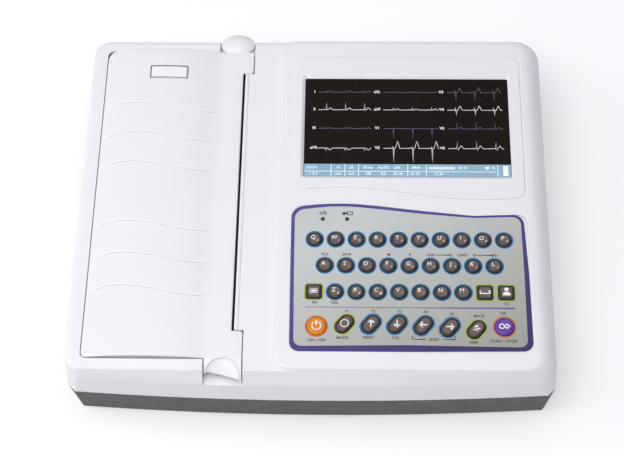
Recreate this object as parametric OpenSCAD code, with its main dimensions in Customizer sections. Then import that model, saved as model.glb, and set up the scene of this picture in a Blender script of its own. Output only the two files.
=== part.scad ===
// Portable electrocardiograph with a hinged paper lid, a colour display and a rubber-key keypad.
// Millimetres. Origin at the middle of the resting plane, +X to the operator's right, +Y to the rear, +Z up.

/* [Body] */
// Height of the dark base shell
base_h = 39; // [38:1:48]
// Height of the white top shell from the parting line to the deck
deck_h = 30; // [28:1:36]
// Step from the deck up to the raised control panel
panel_step = 2; // [1.5:0.25:3]
// Width of the flat deck between the paper slot's lip and the raised panel
deck_w = 24.7; // [22:0.1:28]
// Distance from the keypad overlay to the right side of the body
right_margin = 18; // [17:0.5:30]
// Wall thickness of both shells
wall = 2.5; // [2:0.1:2.8]
// Bow of the front face between its ends
front_bow = 5.5; // [2:0.5:8]
// Drop from the panel plane to the crease across the front
crease_drop = 12; // [9:1:15]
// How far the panel edge stands back from the front parting line
front_setback = 11.2; // [9:0.2:13]
// How far the crease stands back from the front parting line
crease_setback = 2.7; // [1:0.1:4]
// Cut of the front corners at the parting line
corner_cut = 5.5; // [4:0.5:7]
// Plan radius of the upper front corners
front_corner_r = 13; // [10:1:16]
// Plan radius of the rear corners
rear_corner_r = 12; // [8:1:16]
// Radius of the left top edge
left_edge_r = 4; // [3:0.5:5]
// Radius of the rear top edge
rear_edge_r = 5; // [3:0.5:6]
// Radius with which the panel rolls over the right side
right_roll_r = 15; // [10:1:18]
// Inward lean of each side of the base over its height
base_side_lean = 3.8; // [0:0.2:6]
// Inward lean of the front of the base over its height
base_front_lean = 4.3; // [0:0.2:8]

/* [Feet and fasteners] */
// Height that the feet lift the body
foot_h = 5; // [3:0.5:8]
// Radius of a foot
foot_r = 9; // [6:0.5:12]
// Distance of the feet from the body's edges
foot_inset = 32; // [26:1:36]
// Shank radius of a case screw
screw_r = 1.5; // [1.25:0.05:1.6]
// Radius of a screw head
screw_head_r = 2.8; // [2.4:0.1:2.9]
// Height of a screw head
screw_head_h = 2; // [1.5:0.1:2.5]
// Length of a screw's shank
screw_l = 18; // [14:1:20]
// Radius of a screw boss
boss_r = 4.2; // [4:0.1:4.5]
// Clearance round a screw in its hole
screw_gap = 0.06; // [0.02:0.01:0.15]

/* [Paper lid] */
// Strip of deck to the left of the lid
lid_margin = 12.3; // [12:0.1:16]
// Width of the lid from its hinge edge to the paper slot
lid_w = 105.7; // [102:0.1:110]
// Strip of body in front of the lid's front seam
lid_front_margin = 19.2; // [17:0.1:20]
// Strip of deck between the rear seam and the rear edge of the body
lid_rear_margin = 13; // [12:0.5:16]
// Gap round the lid
lid_gap = 0.5; // [0.4:0.05:0.8]
// Height of the lid's arch above the deck
lid_crown = 5; // [3:0.25:6]
// Wall thickness of the lid
lid_t = 2; // [1.6:0.1:2.2]
// Width of the arched part of the lid
arch_w = 87; // [80:1:92]
// Radius of the hinge edge about the hinge pins
hinge_edge_r = 9.7; // [9:0.1:11]
// Depth of the hinge axis below the deck
hinge_drop = 3; // [2.6:0.1:3.2]
// Radius of the hinge pins
hinge_pin_r = 1.5; // [1.2:0.1:1.6]
// Radial clearance of every running fit
run_gap = 0.05; // [0.02:0.01:0.09]
// How far the finger tabs stand out beyond the slot edge
tab_reach = 8; // [6:0.5:9]
// Length of the front finger tab along the slot
front_tab_l = 21.3; // [18:0.1:24]
// Length of the rear finger tab along the slot
rear_tab_l = 19.5; // [18:0.5:24]
// Width of a finger tab
tab_w = 26.5; // [22:0.5:30]
// How far the front tab hangs forward of the front seam
tab_front = 13; // [11:0.2:14]
// How far the rear tab stands beyond the rear wall
tab_rear_over = 2.5; // [1:0.5:4]
// Drop of the front tab's lip below the deck
tab_drop = 6; // [5:0.25:6.25]

/* [Printer] */
// Room beside the chart paper for a side plate and the gears
paper_margin = 24.15; // [24:0.05:27]
// Diameter of a full paper roll
roll_d = 50; // [40:1:52]
// Inner diameter of the paper roll's core
core_d = 16; // [12:1:20]
// Gap between the paper roll and the stepper motor
roll_gap = 0.94; // [0.6:0.02:6]
// Width of the paper slot
slot_w = 1.7; // [1.2:0.1:2.4]
// Width of the rounded lip beside the slot
lip_w = 2.8; // [2:0.1:4]
// Diameter of the rubber platen roller
platen_d = 15; // [13:0.5:15]
// Diameter of the platen shaft
platen_shaft_d = 6; // [5:0.5:6.5]
// Depth of the platen axis below the deck
platen_drop = 11; // [11:0.25:12]
// Gap between the platen and the print head, for the paper
paper_gap = 0.35; // [0.3:0.05:0.6]
// Gear module of the paper drive
gear_m = 0.8; // [0.7:0.05:0.8]
// Face width of the gears
gear_w = 5; // [4:0.5:5.5]
// Backlash between the gear teeth
backlash = 0.2; // [0.15:0.01:0.25]
// Diameter of the stepper motor
motor_d = 28; // [24:1:28]
// Length of the stepper motor
motor_l = 22; // [18:1:26]
// Wall thickness of the printer frame
frame_t = 2.4; // [2:0.1:2.4]

/* [Display] */
// Width of the display's active area
lcd_w = 154.08; // [150:0.02:158]
// Height of the display's active area
lcd_h = 85.92; // [82:0.02:90]
// Border of the display module round its active area
lcd_border = 6; // [4:0.5:7]
// Thickness of the display module
lcd_t = 5.7; // [4:0.1:7]
// Wall left over the edge of the display module
lcd_cover = 1.5; // [1.2:0.1:2]
// Width of the sloping rim round the display window
lcd_rim = 2.5; // [1:0.1:3]
// Distance from the panel's left edge to the display
lcd_inset = 19.3; // [17:0.1:22]
// Distance from the display to the right end of the keypad overlay
lcd_right = 9.42; // [9:0.02:12]
// Distance from the display to the bare band in front of it
lcd_front = 15.38; // [15:0.02:18]
// Distance from the display to the panel's rear edge
lcd_rear = 31.6; // [31:0.2:33]
// Height of the low plate that frames the display
plate_h = 0.4; // [0.2:0.1:0.6]

/* [Keypad] */
// Pitch of the keys along a row
key_pitch = 15.23; // [14.8:0.01:15.4]
// Pitch of the three upper rows
row_pitch = 21.05; // [20:0.05:21.5]
// Diameter of a letter key
letter_d = 11.2; // [10:0.1:11.6]
// Width of a square key
square_w = 11.2; // [10:0.1:11.6]
// Diameter of the two large round keys
big_d = 13.8; // [12:0.1:14.2]
// Width of a slanted function key
slant_w = 10.4; // [9.5:0.1:10.6]
// Distance between the end centres of a slanted function key
slant_l = 5.1; // [4:0.1:5.5]
// Lean of the slanted function keys from the row
slant_a = 50; // [40:1:60]
// Pitch of the function keys
fn_pitch = 18.55; // [18.4:0.05:18.8]
// Step from the function keys to the large key at either end
fn_end_step = 19.8; // [19:0.1:20]
// Distance from the upper rows to the function row
fn_row_drop = 25.1; // [24:0.1:26]
// Height that the keys stand above the panel
key_rise = 1.8; // [1.4:0.1:2.2]
// Travel of a key
key_travel = 1; // [0.6:0.1:1]
// Clearance round a key in its hole
key_gap = 0.35; // [0.3:0.01:0.45]
// Width of the retaining flange round a key
key_flange = 0.95; // [0.8:0.05:1]
// Thickness of the printed keypad overlay
overlay_t = 0.5; // [0.3:0.05:0.8]
// Distance from the panel's left edge to the overlay
overlay_inset = 11.1; // [9:0.1:13]
// Distance from the front of the panel to the overlay
overlay_front = 13.1; // [11:0.1:14]
// Depth of the overlay at the middle of its wave
overlay_d = 113.2; // [112:0.1:114]
// Height of the wave along the overlay and the display plate
wave_h = 4.9; // [2:0.1:6]
// Half wavelength of that wave
wave_l = 103; // [90:1:115]
// Bare band between the overlay and the display plate
band_w = 13.6; // [12:0.1:15]

/* [Connections and power] */
// Width of the mains inlet's opening
inlet_w = 27; // [25:0.5:28]
// Height of the mains inlet's opening
inlet_h = 20; // [18:0.5:22]
// Depth of the mains inlet's body behind the wall
inlet_depth = 19; // [16:1:24]
// Pitch of the two screw posts of the patient connector
post_pitch = 33.3; // [33:0.05:34]
// Thread radius of the screw posts
post_thread_r = 1.42; // [1.3:0.01:1.5]
// Width of the main board
board_w = 112; // [100:1:118]
// Distance of the power supply from the right side of the body
supply_margin = 14; // [12:1:24]
// Depth of the power supply
supply_d = 92; // [70:1:96]
// Pitch of the cooling slots
vent_pitch = 5; // [4:0.25:5.5]
// Width of the battery pack
battery_w = 92; // [80:1:96]
// Depth of the battery pack
battery_d = 74; // [60:1:78]
// Height of the battery pack
battery_h = 22; // [18:1:24]

/* [Hidden] */
$fn = 48;
EPS = 0.01;

// Width and depth: the display and the keypad set them, and the lid and the paper follow
rear_draft = 1.5;
overlay_w = lcd_inset - overlay_inset + lcd_w + lcd_right;
body_w = lid_margin + lid_w + slot_w + lip_w + deck_w + overlay_inset + overlay_w + right_margin;
body_d = front_setback + overlay_front + overlay_d + band_w + lcd_front + lcd_h + lcd_rear
    + rear_edge_r + rear_draft;
lid_d = body_d - lid_front_margin - lid_rear_margin;
paper_w = lid_d - 2 * paper_margin;

// Levels
z_floor = foot_h;
z_part = z_floor + base_h;
z_deck = z_part + deck_h;
z_top = z_deck + panel_step;
z_crease = z_top - crease_drop;
z_under = z_top - wall;

// The overall depth runs from the parting line to the rear tab, and the origin is at its middle
front_y0 = -(body_d + tab_rear_over) / 2;
rear_y0 = front_y0 + body_d;
side_draft = 0.6;
panel_front_y = front_y0 + front_setback;
crease_bow = front_bow * 0.8;
front_steps = 12;
corner_steps = 8;
// A straight corner cut moves in by this share of the wall's thickness
cut_share = 2 - sqrt(2);
base_cut_growth = -3.6;

// Lid, slot and panel, in order from the left side
lid_x0 = -body_w / 2 + lid_margin;
lid_x1 = lid_x0 + lid_w;
slot_x1 = lid_x1 + slot_w;
panel_x0 = slot_x1 + lip_w + deck_w;
tab_x1 = lid_x1 + tab_reach;
tab_x0 = tab_x1 - tab_w;
lid_y1 = rear_y0 - lid_rear_margin;
lid_y0 = lid_y1 - lid_d;
lid_cy = (lid_y0 + lid_y1) / 2;
front_step_y = lid_y0 + front_tab_l;
rear_step_y = lid_y1 - rear_tab_l;
lid_front_r = 4;
// Flat root of each finger tab past the seam
tab_root = 0.4;
lid_rear_r = 8;
// The opening's rear corner is tighter, so that the lid's hinge edge clears it as it turns
opening_rear_r = 4;
lid_edge_z = z_deck + 0.4;
hinge_x = lid_x0 + hinge_edge_r;
hinge_z = z_deck - hinge_drop;
tub_relief = 1.6;

// Paper drive
platen_x = lid_x1 - platen_d / 2 - 1;
platen_z = z_deck - platen_drop;
platen_l = paper_w + 2;
arm_t = 4;
arm_y = platen_l / 2 + 1.5;
gear_y = lid_cy - arm_y - arm_t - 1.5;
platen_teeth = 20;
idler_teeth = 24;
pinion_teeth = 14;
platen_gear_r = gear_m * platen_teeth / 2;
idler_gear_r = gear_m * idler_teeth / 2;
pinion_gear_r = gear_m * pinion_teeth / 2;
idler_x = platen_x;
idler_z = platen_z - platen_gear_r - idler_gear_r;
pinion_dir = 225;
pinion_x = idler_x + (idler_gear_r + pinion_gear_r) * cos(pinion_dir);
pinion_z = idler_z + (idler_gear_r + pinion_gear_r) * sin(pinion_dir);
gear_pin_r = 1.5;
roll_x = pinion_x - motor_d / 2 - roll_gap - roll_d / 2;
tub_z0 = z_floor + wall;
roll_z = tub_z0 + frame_t + roll_d / 2 + 2;
plate_y = arm_y + 0.2;
plate_top_z = platen_z - 9;

// Printer tub
tub_x0 = lid_x0 - 3.2;
tub_x1 = slot_x1 + 4.8;
tub_y0 = lid_y0 - lid_gap - 0.4 - frame_t;
tub_y1 = lid_y1 + lid_gap + 0.4 + frame_t;
tub_z1 = z_deck - wall - 0.3;
tub_r = 6;

// Display and keypad
lcd_x = panel_x0 + lcd_inset + lcd_w / 2;
panel_rear_y = rear_y0 - rear_draft - rear_edge_r;
lcd_y = panel_rear_y - lcd_rear - lcd_h / 2;
lcd_face_z = z_top - lcd_cover;
overlay_x0 = panel_x0 + overlay_inset;
overlay_x1 = overlay_x0 + overlay_w;
overlay_y0 = panel_front_y + overlay_front;
overlay_y1 = overlay_y0 + overlay_d;
overlay_r = 7;
wave_x = overlay_x0 + 35.7;
key_cx = (overlay_x0 + overlay_x1) / 2;
fn_row_y = overlay_y0 + 21.2;
plate_x0 = overlay_x0 + 0.6;
plate_x1 = overlay_x1 - 0.1;
plate_y1 = lcd_y + lcd_h / 2 + 20;
flange_t = 0.9;
flange_clear = 0.3;
square_r = 1.6;
contact_r = 2;
contact_l = 1.7;
key_board_z = z_under - flange_clear - flange_t - contact_l - key_travel - 0.3;
key_board_x0 = overlay_x0 + 5;
key_board_x1 = overlay_x1 - 5;
key_board_y0 = overlay_y0 + 5;
key_board_y1 = overlay_y1 - 3;
board_post_r = 2.5;
key_board_posts = [for (x = [key_board_x0 + 3, key_board_x1 - 3])
    for (y = [key_board_y0 + 3, key_board_y1 - 3]) [x, y]];
led_pitch = 17.8;
led_r = 1.6;
led_x = overlay_x0 + 22.9;
led_y = fn_row_y + fn_row_drop + 2 * row_pitch + 16.8;

// Base furniture
// Screw bosses that reach up to the deck, and shorter ones that stand against the rear wall
tall_bosses = [
    [tub_x1 + boss_r + 2.4, front_y0 + 22], [body_w / 2 - 15, front_y0 + 34],
    [body_w / 2 - 15, rear_y0 - 24]];
rear_bosses = [for (x = [-body_w / 2 + 24, tub_x1 + boss_r + 1]) [x, tub_y1 + boss_r + 0.2]];
boss_spots = concat(tall_bosses, rear_bosses);
rear_boss_h = screw_l - 4;
screw_seat_z = z_part - 8;
foot_spots = [for (sx = [-1, 1]) for (y = [front_y0 + foot_inset, rear_y0 - foot_inset])
    [sx * (body_w / 2 - foot_inset), y]];
battery_x = 66;
battery_y = front_y0 + 30 + battery_d / 2;
battery_z = z_floor + wall;
battery_gap = 0.6;
bay_t = 3.2;
door_lap = 2;
door_gap = 0.3;
grip_pitch = 2.4;
grip_l = 20;
grip_h = 0.5;
inlet_x = body_w / 2 - 62;
inlet_z = z_floor + base_h / 2 + 1;
port_z = z_floor + 25;
port_y = -72;
port_x = body_w / 2 - wall - 1.4;
usb_y = port_y + 38;
net_y = usb_y + 22;
plinth_z0 = z_floor + 11;

// Letter keys in reading order, then the square keys, then the function row from left to right
KEYS = concat([for (c = "qwertyuiopasdfghjklzxcvbnm") str("key_", c)], ["key_fn", "key_space", "key_patient"],
    ["key_power", "key_f1", "key_f2", "key_f3", "key_f4", "key_f5", "key_back", "key_ok"]);
SQUARE_0 = 26;
FN_0 = 29;
LAST_KEY = len(KEYS) - 1;
SQUARE_COLS = [-4.5, 3.5, 4.5];
// Drop of each function key below the row's highest key, which gives the row its gentle curve
FN_DROPS = [1.9, 0.1, 0, 0, 0.8, 2.1, 3.6, 1.5];
FIXED_NODES = ["base_shell", "top_shell", "keypad_overlay", "display_module", "main_board", "key_board",
    "power_supply", "printer_frame", "print_head", "stepper_motor", "battery_pack", "battery_door",
    "mains_inlet", "signal_ports", "feet", "screws", "tear_bar", "paper_lid", "platen_roller",
    "platen_gear", "idler_gear", "motor_pinion", "paper_roll"];

// ---- Shared shapes ----

function mix(a, b, t) = a + (b - a) * t;

function arc(c, r, a0, a1, n) =
    [for (i = [0 : n]) let (a = mix(a0, a1, i / n)) c + r * [cos(a), sin(a)]];

// Reach of a side at height z, when its top edge at height top has radius r
function rim(z, top, reach, r) = reach - (z <= top - r ? 0 : r - sqrt(max(0, r * r - pow(z - top + r, 2))));

// Front of the body at x: yf is its foremost line, and bow is how far the ends stand behind it
function front_line(x, yf, bow) = yf + bow * pow(x / (body_w / 2 - corner_cut), 2);

// Outline with a bowed front, cut or rounded front corners and rounded rear corners
function plan(xl, xr, yf, bow, cut_l, cut_r, steps, yb, rear_r) =
    let (x0 = xl + cut_l, x1 = xr - cut_r)
    concat(
        [for (i = [1 : front_steps - 1]) let (x = mix(x0, x1, i / front_steps)) [x, front_line(x, yf, bow)]],
        arc([x1, front_line(x1, yf, bow) + cut_r], cut_r, -90, 0, steps),
        arc([xr - rear_r, yb - rear_r], rear_r, 0, 90, corner_steps),
        arc([xl + rear_r, yb - rear_r], rear_r, 90, 180, corner_steps),
        arc([x0, front_line(x0, yf, bow) + cut_l], cut_l, 180, 270, steps));

function front_y(z) = z < z_crease
    ? mix(front_y0, front_y0 + crease_setback, (z - z_part) / (z_crease - z_part))
    : mix(front_y0 + crease_setback, panel_front_y, (z - z_crease) / (z_top - z_crease));

function bow_at(z) = z < z_crease
    ? mix(front_bow, crease_bow, (z - z_part) / (z_crease - z_part))
    : mix(crease_bow, 0, (z - z_crease) / (z_top - z_crease));

function draft(z, total) = total * min(1, (z - z_part) / (z_crease - z_part));

// Corner of the white shell at height z: a straight cut at the parting line, round above it
function shell_corner(z, inset) = z > z_part ? front_corner_r - inset : corner_cut - cut_share * inset;

// Outline of the white shell at height z, under a top surface at height top, moved in by inset.
// A value for left ends the outline there instead of at the body's own left side.
function shell_plan(z, top, inset, left = undef, left_r = 0) =
    let (side = body_w / 2 - draft(z, side_draft) - inset)
    plan(is_undef(left) ? -rim(z, top, side, left_edge_r - inset) : left + inset,
        rim(z, z_top, side, right_roll_r - inset), front_y(z) + inset, bow_at(z),
        is_undef(left) ? shell_corner(z, inset) : left_r, shell_corner(z, inset),
        z > z_part ? corner_steps : 1,
        rim(z, top, rear_y0 - draft(z, rear_draft) - inset, rear_edge_r - inset), rear_corner_r - inset);

// Outline of the dark base at height z, moved in by inset
function base_plan(z, inset) =
    let (t = 1 - (z - z_floor) / base_h, side = body_w / 2 - base_side_lean * t - inset,
         cut = corner_cut + base_cut_growth * t - cut_share * inset)
    plan(-side, side, front_y0 + base_front_lean * t + inset, front_bow, cut, cut, 1,
        rear_y0 - inset, rear_corner_r - inset);

module slab(outline, z) {
    translate([0, 0, z]) linear_extrude(EPS) polygon(outline);
}

module rounded_rect(w, h, r) {
    polygon(concat(
        arc([w / 2 - r, h / 2 - r], r, 0, 90, 5), arc([r - w / 2, h / 2 - r], r, 90, 180, 5),
        arc([r - w / 2, r - h / 2], r, 180, 270, 5), arc([w / 2 - r, r - h / 2], r, 270, 360, 5)));
}

// Block between two corners
module block(a, b) {
    translate(a) cube(b - a);
}

// Cylinder along Y from y0 to y1, through x and z
module shaft(x, z, r, y0, y1) {
    translate([x, y0, z]) rotate([-90, 0, 0]) cylinder(r = r, h = y1 - y0);
}

// Involute gear outline: angles in degrees, teeth centred on angle turn
function inv_deg(a) = tan(a) * 180 / PI - a;
function tooth_half(r, teeth) =
    let (rp = gear_m * teeth / 2, rb = rp * cos(20))
    90 / teeth - backlash / 4 / rp * 180 / PI + inv_deg(20) - inv_deg(acos(min(1, rb / max(r, rb))));
function gear_points(teeth, turn) =
    let (rp = gear_m * teeth / 2, rr = rp - 1.15 * gear_m, ra = rp + 0.9 * gear_m, rb = rp * cos(20),
         radii = [rr, max(rr, rb), mix(rp, max(rr, rb), 0.3), mix(rp, ra, 0.5), ra])
    [for (i = [0 : teeth - 1]) for (s = [-1, 1]) for (k = [0 : 4])
        let (r = radii[s < 0 ? k : 4 - k], a = turn + 360 * i / teeth + s * tooth_half(r, teeth))
        r * [cos(a), sin(a)]];

module gear(teeth, turn, bore_r) {
    difference() {
        linear_extrude(gear_w) polygon(gear_points(teeth, turn));
        translate([0, 0, -1]) cylinder(r = bore_r, h = gear_w + 2);
    }
}

// Gear in the drive train: the outline's y points up, so the gear is stood on edge
module train_gear(x, z, teeth, turn, bore_r) {
    translate([x, gear_y, z]) rotate([90, 0, 0]) gear(teeth, turn, bore_r);
}

// Phase that puts a gap of the driven gear on the tooth of its neighbour
function mesh_turn(dir, from_turn, from_teeth, to_teeth) =
    let (u = (dir - from_turn) * from_teeth / 360) dir + 180 - (0.5 - u) * 360 / to_teeth;
idler_turn = mesh_turn(-90, 0, platen_teeth, idler_teeth);
pinion_turn = mesh_turn(pinion_dir, idler_turn, idler_teeth, pinion_teeth);

function wave_y(x) = wave_h * cos(180 * (x - wave_x) / wave_l);

// Outline between x0 and x1, flat on one side and waved on the other
function wave_outline(x0, x1, y_flat, y_wave, r) =
    let (s = sign(y_wave - y_flat), n = 16,
         wave = [for (i = [0 : n]) let (x = mix(x1 - r, x0 + r, i / n)) [x, y_wave + wave_y(x)]],
         right = arc([x1 - r, y_wave + wave_y(x1 - r) - s * r], r, 0, s * 90, 6),
         left = arc([x0 + r, y_wave + wave_y(x0 + r) - s * r], r, s * 90, s * 180, 6))
    concat(
        arc([x0 + r, y_flat + s * r], r, s * 180, s * 270, 6),
        arc([x1 - r, y_flat + s * r], r, -s * 90, 0, 6), right, wave, left);

// ---- Keys ----

// Column and row of a letter key: the rows hold ten, nine and seven letters
function letter_spot(i) = i < 10 ? [i - 4.5, 2] : i < 19 ? [i - 14, 1] : [i - 22.5, 0];
function fn_spot(i) = [
    i == 0 ? -2.5 * fn_pitch - fn_end_step : i == 7 ? 2.5 * fn_pitch + fn_end_step : (i - 3.5) * fn_pitch,
    -FN_DROPS[i]];

// Middle of key number i
function key_spot(i) =
    i < SQUARE_0 ? let (c = letter_spot(i))
        [key_cx + c.x * key_pitch, fn_row_y + fn_row_drop + c.y * row_pitch]
    : i < FN_0 ? [key_cx + SQUARE_COLS[i - SQUARE_0] * key_pitch, fn_row_y + fn_row_drop]
    : [key_cx, fn_row_y] + fn_spot(i - FN_0);

module key_face(i, grow) {
    if (i < SQUARE_0) circle(d = letter_d + 2 * grow);
    else if (i < FN_0) rounded_rect(square_w + 2 * grow, square_w + 2 * grow, square_r + grow);
    else if (i == FN_0 || i == LAST_KEY) circle(d = big_d + 2 * grow);
    else rotate(slant_a) {
        for (s = [-1, 1]) translate([s * slant_l / 2, 0]) circle(d = slant_w + 2 * grow);
        square([slant_l, slant_w + 2 * grow], center = true);
    }
}

function key_colour(i) = i == FN_0 ? "orange" : i == LAST_KEY ? "purple" : "dimgray";

// A silicone key: cap, retaining flange under the shell, and contact pill over the board
module key(i) {
    z0 = z_under - flange_clear - flange_t;
    color(key_colour(i)) translate(concat(key_spot(i), z0)) {
        linear_extrude(flange_t) key_face(i, key_flange);
        linear_extrude(z_top + key_rise - z0) key_face(i, 0);
        translate([0, 0, -contact_l]) cylinder(r = contact_r, h = contact_l + EPS);
    }
}

module key_holes(z0, z1) {
    for (i = [0 : LAST_KEY])
        translate(concat(key_spot(i), z0)) linear_extrude(z1 - z0) key_face(i, key_gap);
}

module led_holes(z0, z1) {
    for (i = [0, 1]) translate([led_x + i * led_pitch, led_y, z0]) cylinder(r = led_r, h = z1 - z0);
}

// ---- White top shell ----

deck_levels = concat([z_part, z_crease], [for (drop = [5 : -1 : 1]) z_deck - drop], [z_deck - 0.35, z_deck]);
panel_levels = [z_deck - 6, z_deck - 3, z_deck - 1, z_deck, z_deck + panel_step / 2, z_top - 0.4, z_top];

function step_left(z) =
    panel_x0 + (z < z_deck ? 0 : panel_step * (1 - cos(asin((z - z_deck) / panel_step))));

module deck_body(inset) {
    hull() for (z = deck_levels)
        slab(shell_plan(z, z_deck, inset), inset > 0 ? max(z - inset, z_part - 1) : z);
}

module panel_body(inset) {
    hull() for (z = panel_levels)
        slab(shell_plan(z, z_top, inset, step_left(z), front_corner_r + 2), z - inset);
}

// Recess in the front edge under the finger tab, and the wall round it
recess_z = z_crease - 1;
recess_y = lid_y0 - lid_gap;
module tab_recess(grow) {
    block([tab_x0 - 0.8 - grow, front_y0 - 10, recess_z - grow],
        [tab_x1 + 0.8 + grow, recess_y + grow, z_top + 1]);
}

// Opening for the lid through the deck, wider at the two finger tabs
module lid_opening() {
    g = lid_gap;
    translate([0, 0, z_deck - wall - 0.2]) linear_extrude(z_top) {
        polygon(concat(
            arc([lid_x0 + lid_front_r, lid_y0 + lid_front_r], lid_front_r + g, 180, 270, corner_steps),
            [[tab_x1 + g, lid_y0 - g], [tab_x1 + g, front_step_y + g], [slot_x1, front_step_y + g],
            [slot_x1, rear_step_y - g], [tab_x1 + g, rear_step_y - g], [tab_x1 + g, lid_y1 + g]],
            arc([lid_x0 + opening_rear_r, lid_y1 - opening_rear_r], opening_rear_r + g, 90, 180,
                corner_steps)));
    }
}

module top_shell() {
    color("white") {
        difference() {
            union() {
                deck_body(0);
                panel_body(0);
                translate([0, 0, z_top - 1]) linear_extrude(1 + plate_h)
                    polygon(wave_outline(plate_x0, plate_x1, plate_y1, overlay_y1 + band_w, overlay_r));
            }
            difference() {
                union() {
                    deck_body(wall);
                    panel_body(wall);
                }
                tab_recess(wall);
                rear_tab_recess(wall);
            }
            tab_recess(0);
            rear_tab_recess(0);
            lid_opening();
            display_window();
            translate([0, 0, z_top - overlay_t]) linear_extrude(1)
                polygon(wave_outline(overlay_x0, overlay_x1, overlay_y0, overlay_y1, overlay_r));
            key_holes(z_under - 1, z_top);
            led_holes(z_under - 1, z_top);
            hinge_relief();
        }
        difference() {
            union() {
                for (p = tall_bosses) translate(concat(p, z_part))
                    cylinder(r = boss_r, h = (p.x > panel_x0 ? z_under : z_deck - wall) - z_part + 0.5);
                for (p = rear_bosses) translate(concat(p, z_part)) cylinder(r = boss_r, h = rear_boss_h);
            }
            for (p = boss_spots)
                translate(concat(p, z_part - 1)) cylinder(r = screw_r + screw_gap, h = screw_l - 6);
        }
        for (p = key_board_posts)
            translate(concat(p, key_board_z)) cylinder(r = board_post_r, h = z_under - key_board_z + 0.5);
    }
}

rear_recess_z = z_deck - tab_drop + 1;
module rear_tab_recess(grow) {
    block([tab_x0 - 0.5 - grow, lid_y1 + lid_gap - grow, rear_recess_z - grow],
        [tab_x1 + 0.5 + grow, rear_y0 + 10, z_top + 1]);
}

module display_window() {
    translate([lcd_x, lcd_y, 0]) {
        translate([0, 0, z_under - 2]) linear_extrude(lcd_cover + wall + 3)
            rounded_rect(lcd_w + 0.6, lcd_h + 0.6, 1);
        hull() {
            translate([0, 0, lcd_face_z + 0.3]) linear_extrude(EPS) rounded_rect(lcd_w + 0.6, lcd_h + 0.6, 1);
            translate([0, 0, z_top + plate_h + EPS]) linear_extrude(EPS)
                rounded_rect(lcd_w + 2 * lcd_rim, lcd_h + 2 * lcd_rim, 3);
        }
        translate([0, 0, z_under - 5]) linear_extrude(5 + wall - lcd_cover)
            square([lcd_w + 2 * lcd_border + 0.6, lcd_h + 2 * lcd_border + 0.6], center = true);
    }
}

// Pockets under the deck for the hinge ears of the printer frame
module hinge_relief() {
    for (y = [tub_y0 - 0.4, lid_y1 + lid_gap - 0.5])
        block([hinge_x - 4.6, y, z_deck - wall - 1],
            [hinge_x + 4.6, y + frame_t + 1.3, z_deck - wall + tub_relief]);
}

// ---- Dark base shell ----

module base_shell() {
    color("dimgray") difference() {
        union() {
            difference() {
                union() {
                    hull() {
                        slab(base_plan(z_floor, 0), z_floor);
                        slab(base_plan(z_part - EPS, 0), z_part - EPS);
                    }
                    side_plinth();
                }
                hull() {
                    slab(base_plan(z_floor, wall), z_floor + wall);
                    slab(base_plan(z_part, wall), z_part + 1);
                }
            }
            for (p = boss_spots) translate(concat(p, z_floor)) cylinder(r = boss_r, h = base_h);
            battery_bay();
        }
        for (p = boss_spots) {
            translate(concat(p, z_floor - 1))
                cylinder(r = screw_head_r + 0.3, h = screw_seat_z - z_floor + 1);
            translate(concat(p, z_floor)) cylinder(r = screw_r + 0.2, h = base_h + 1);
        }
        battery_opening();
        inlet_opening();
        port_openings();
        rear_vents();
        side_vents();
    }
}

// Upright band on the right side that carries the connectors
module side_plinth() {
    block([body_w / 2 - wall - 1.4, front_y0 + 16, plinth_z0],
        [body_w / 2 - 1.2, rear_y0 - 14, z_part - EPS]);
}

module battery_bay() {
    w = battery_w + 2 * battery_gap;
    d = battery_d + 2 * battery_gap;
    difference() {
        block([battery_x - w / 2 - bay_t, battery_y - d / 2 - bay_t, z_floor + 1],
            [battery_x + w / 2 + bay_t, battery_y + d / 2 + bay_t, battery_z + battery_h]);
        block([battery_x - w / 2, battery_y - d / 2, z_floor - 1],
            [battery_x + w / 2, battery_y + d / 2, battery_z + battery_h + 1]);
    }
}

module battery_opening() {
    w = battery_w + 2 * (battery_gap + door_lap);
    d = battery_d + 2 * (battery_gap + door_lap);
    block([battery_x - w / 2, battery_y - d / 2, z_floor - 1],
        [battery_x + w / 2, battery_y + d / 2, z_floor + wall]);
}

module inlet_opening() {
    block([inlet_x - inlet_w / 2, rear_y0 - wall - 2, inlet_z - inlet_h / 2],
        [inlet_x + inlet_w / 2, rear_y0 + 1, inlet_z + inlet_h / 2]);
}

module port_openings() {
    block([port_x - 1, port_y - 21, port_z - 7.5], [body_w, port_y + 21, port_z + 7.5]);
    block([port_x - 1, usb_y - 7, port_z - 3.6], [body_w, usb_y + 7, port_z + 3.6]);
    block([port_x - 1, net_y - 8.3, port_z - 7], [body_w, net_y + 8.3, port_z + 7]);
}

vent_w = vent_pitch * 0.36;
module rear_vents() {
    for (i = [0 : 9])
        block([inlet_x - 95 + i * vent_pitch, rear_y0 - wall - 2, z_floor + 12],
            [inlet_x - 95 + i * vent_pitch + vent_w, rear_y0 + 1, z_part - 8]);
}

module side_vents() {
    for (i = [0 : 9])
        block([body_w / 2 - wall - 6, 40 + i * vent_pitch, z_floor + 15],
            [body_w, 40 + i * vent_pitch + vent_w, z_part - 6]);
}

// ---- Keypad, display and boards ----

module keypad_overlay() {
    color("lightgray") difference() {
        translate([0, 0, z_top - overlay_t]) linear_extrude(overlay_t)
            polygon(wave_outline(overlay_x0 + 0.15, overlay_x1 - 0.15, overlay_y0 + 0.15,
                overlay_y1 - 0.15, overlay_r));
        key_holes(z_top - overlay_t - 1, z_top + 1);
        led_holes(z_top - overlay_t - 1, z_top + 1);
    }
}

module display_module() {
    color("black") {
        translate([lcd_x, lcd_y, lcd_face_z - lcd_t]) linear_extrude(lcd_t)
            square([lcd_w + 2 * lcd_border, lcd_h + 2 * lcd_border], center = true);
        translate([lcd_x, lcd_y, lcd_face_z - lcd_t - 4]) linear_extrude(4) square([60, 30], center = true);
    }
}

board_t = 1.6;

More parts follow.
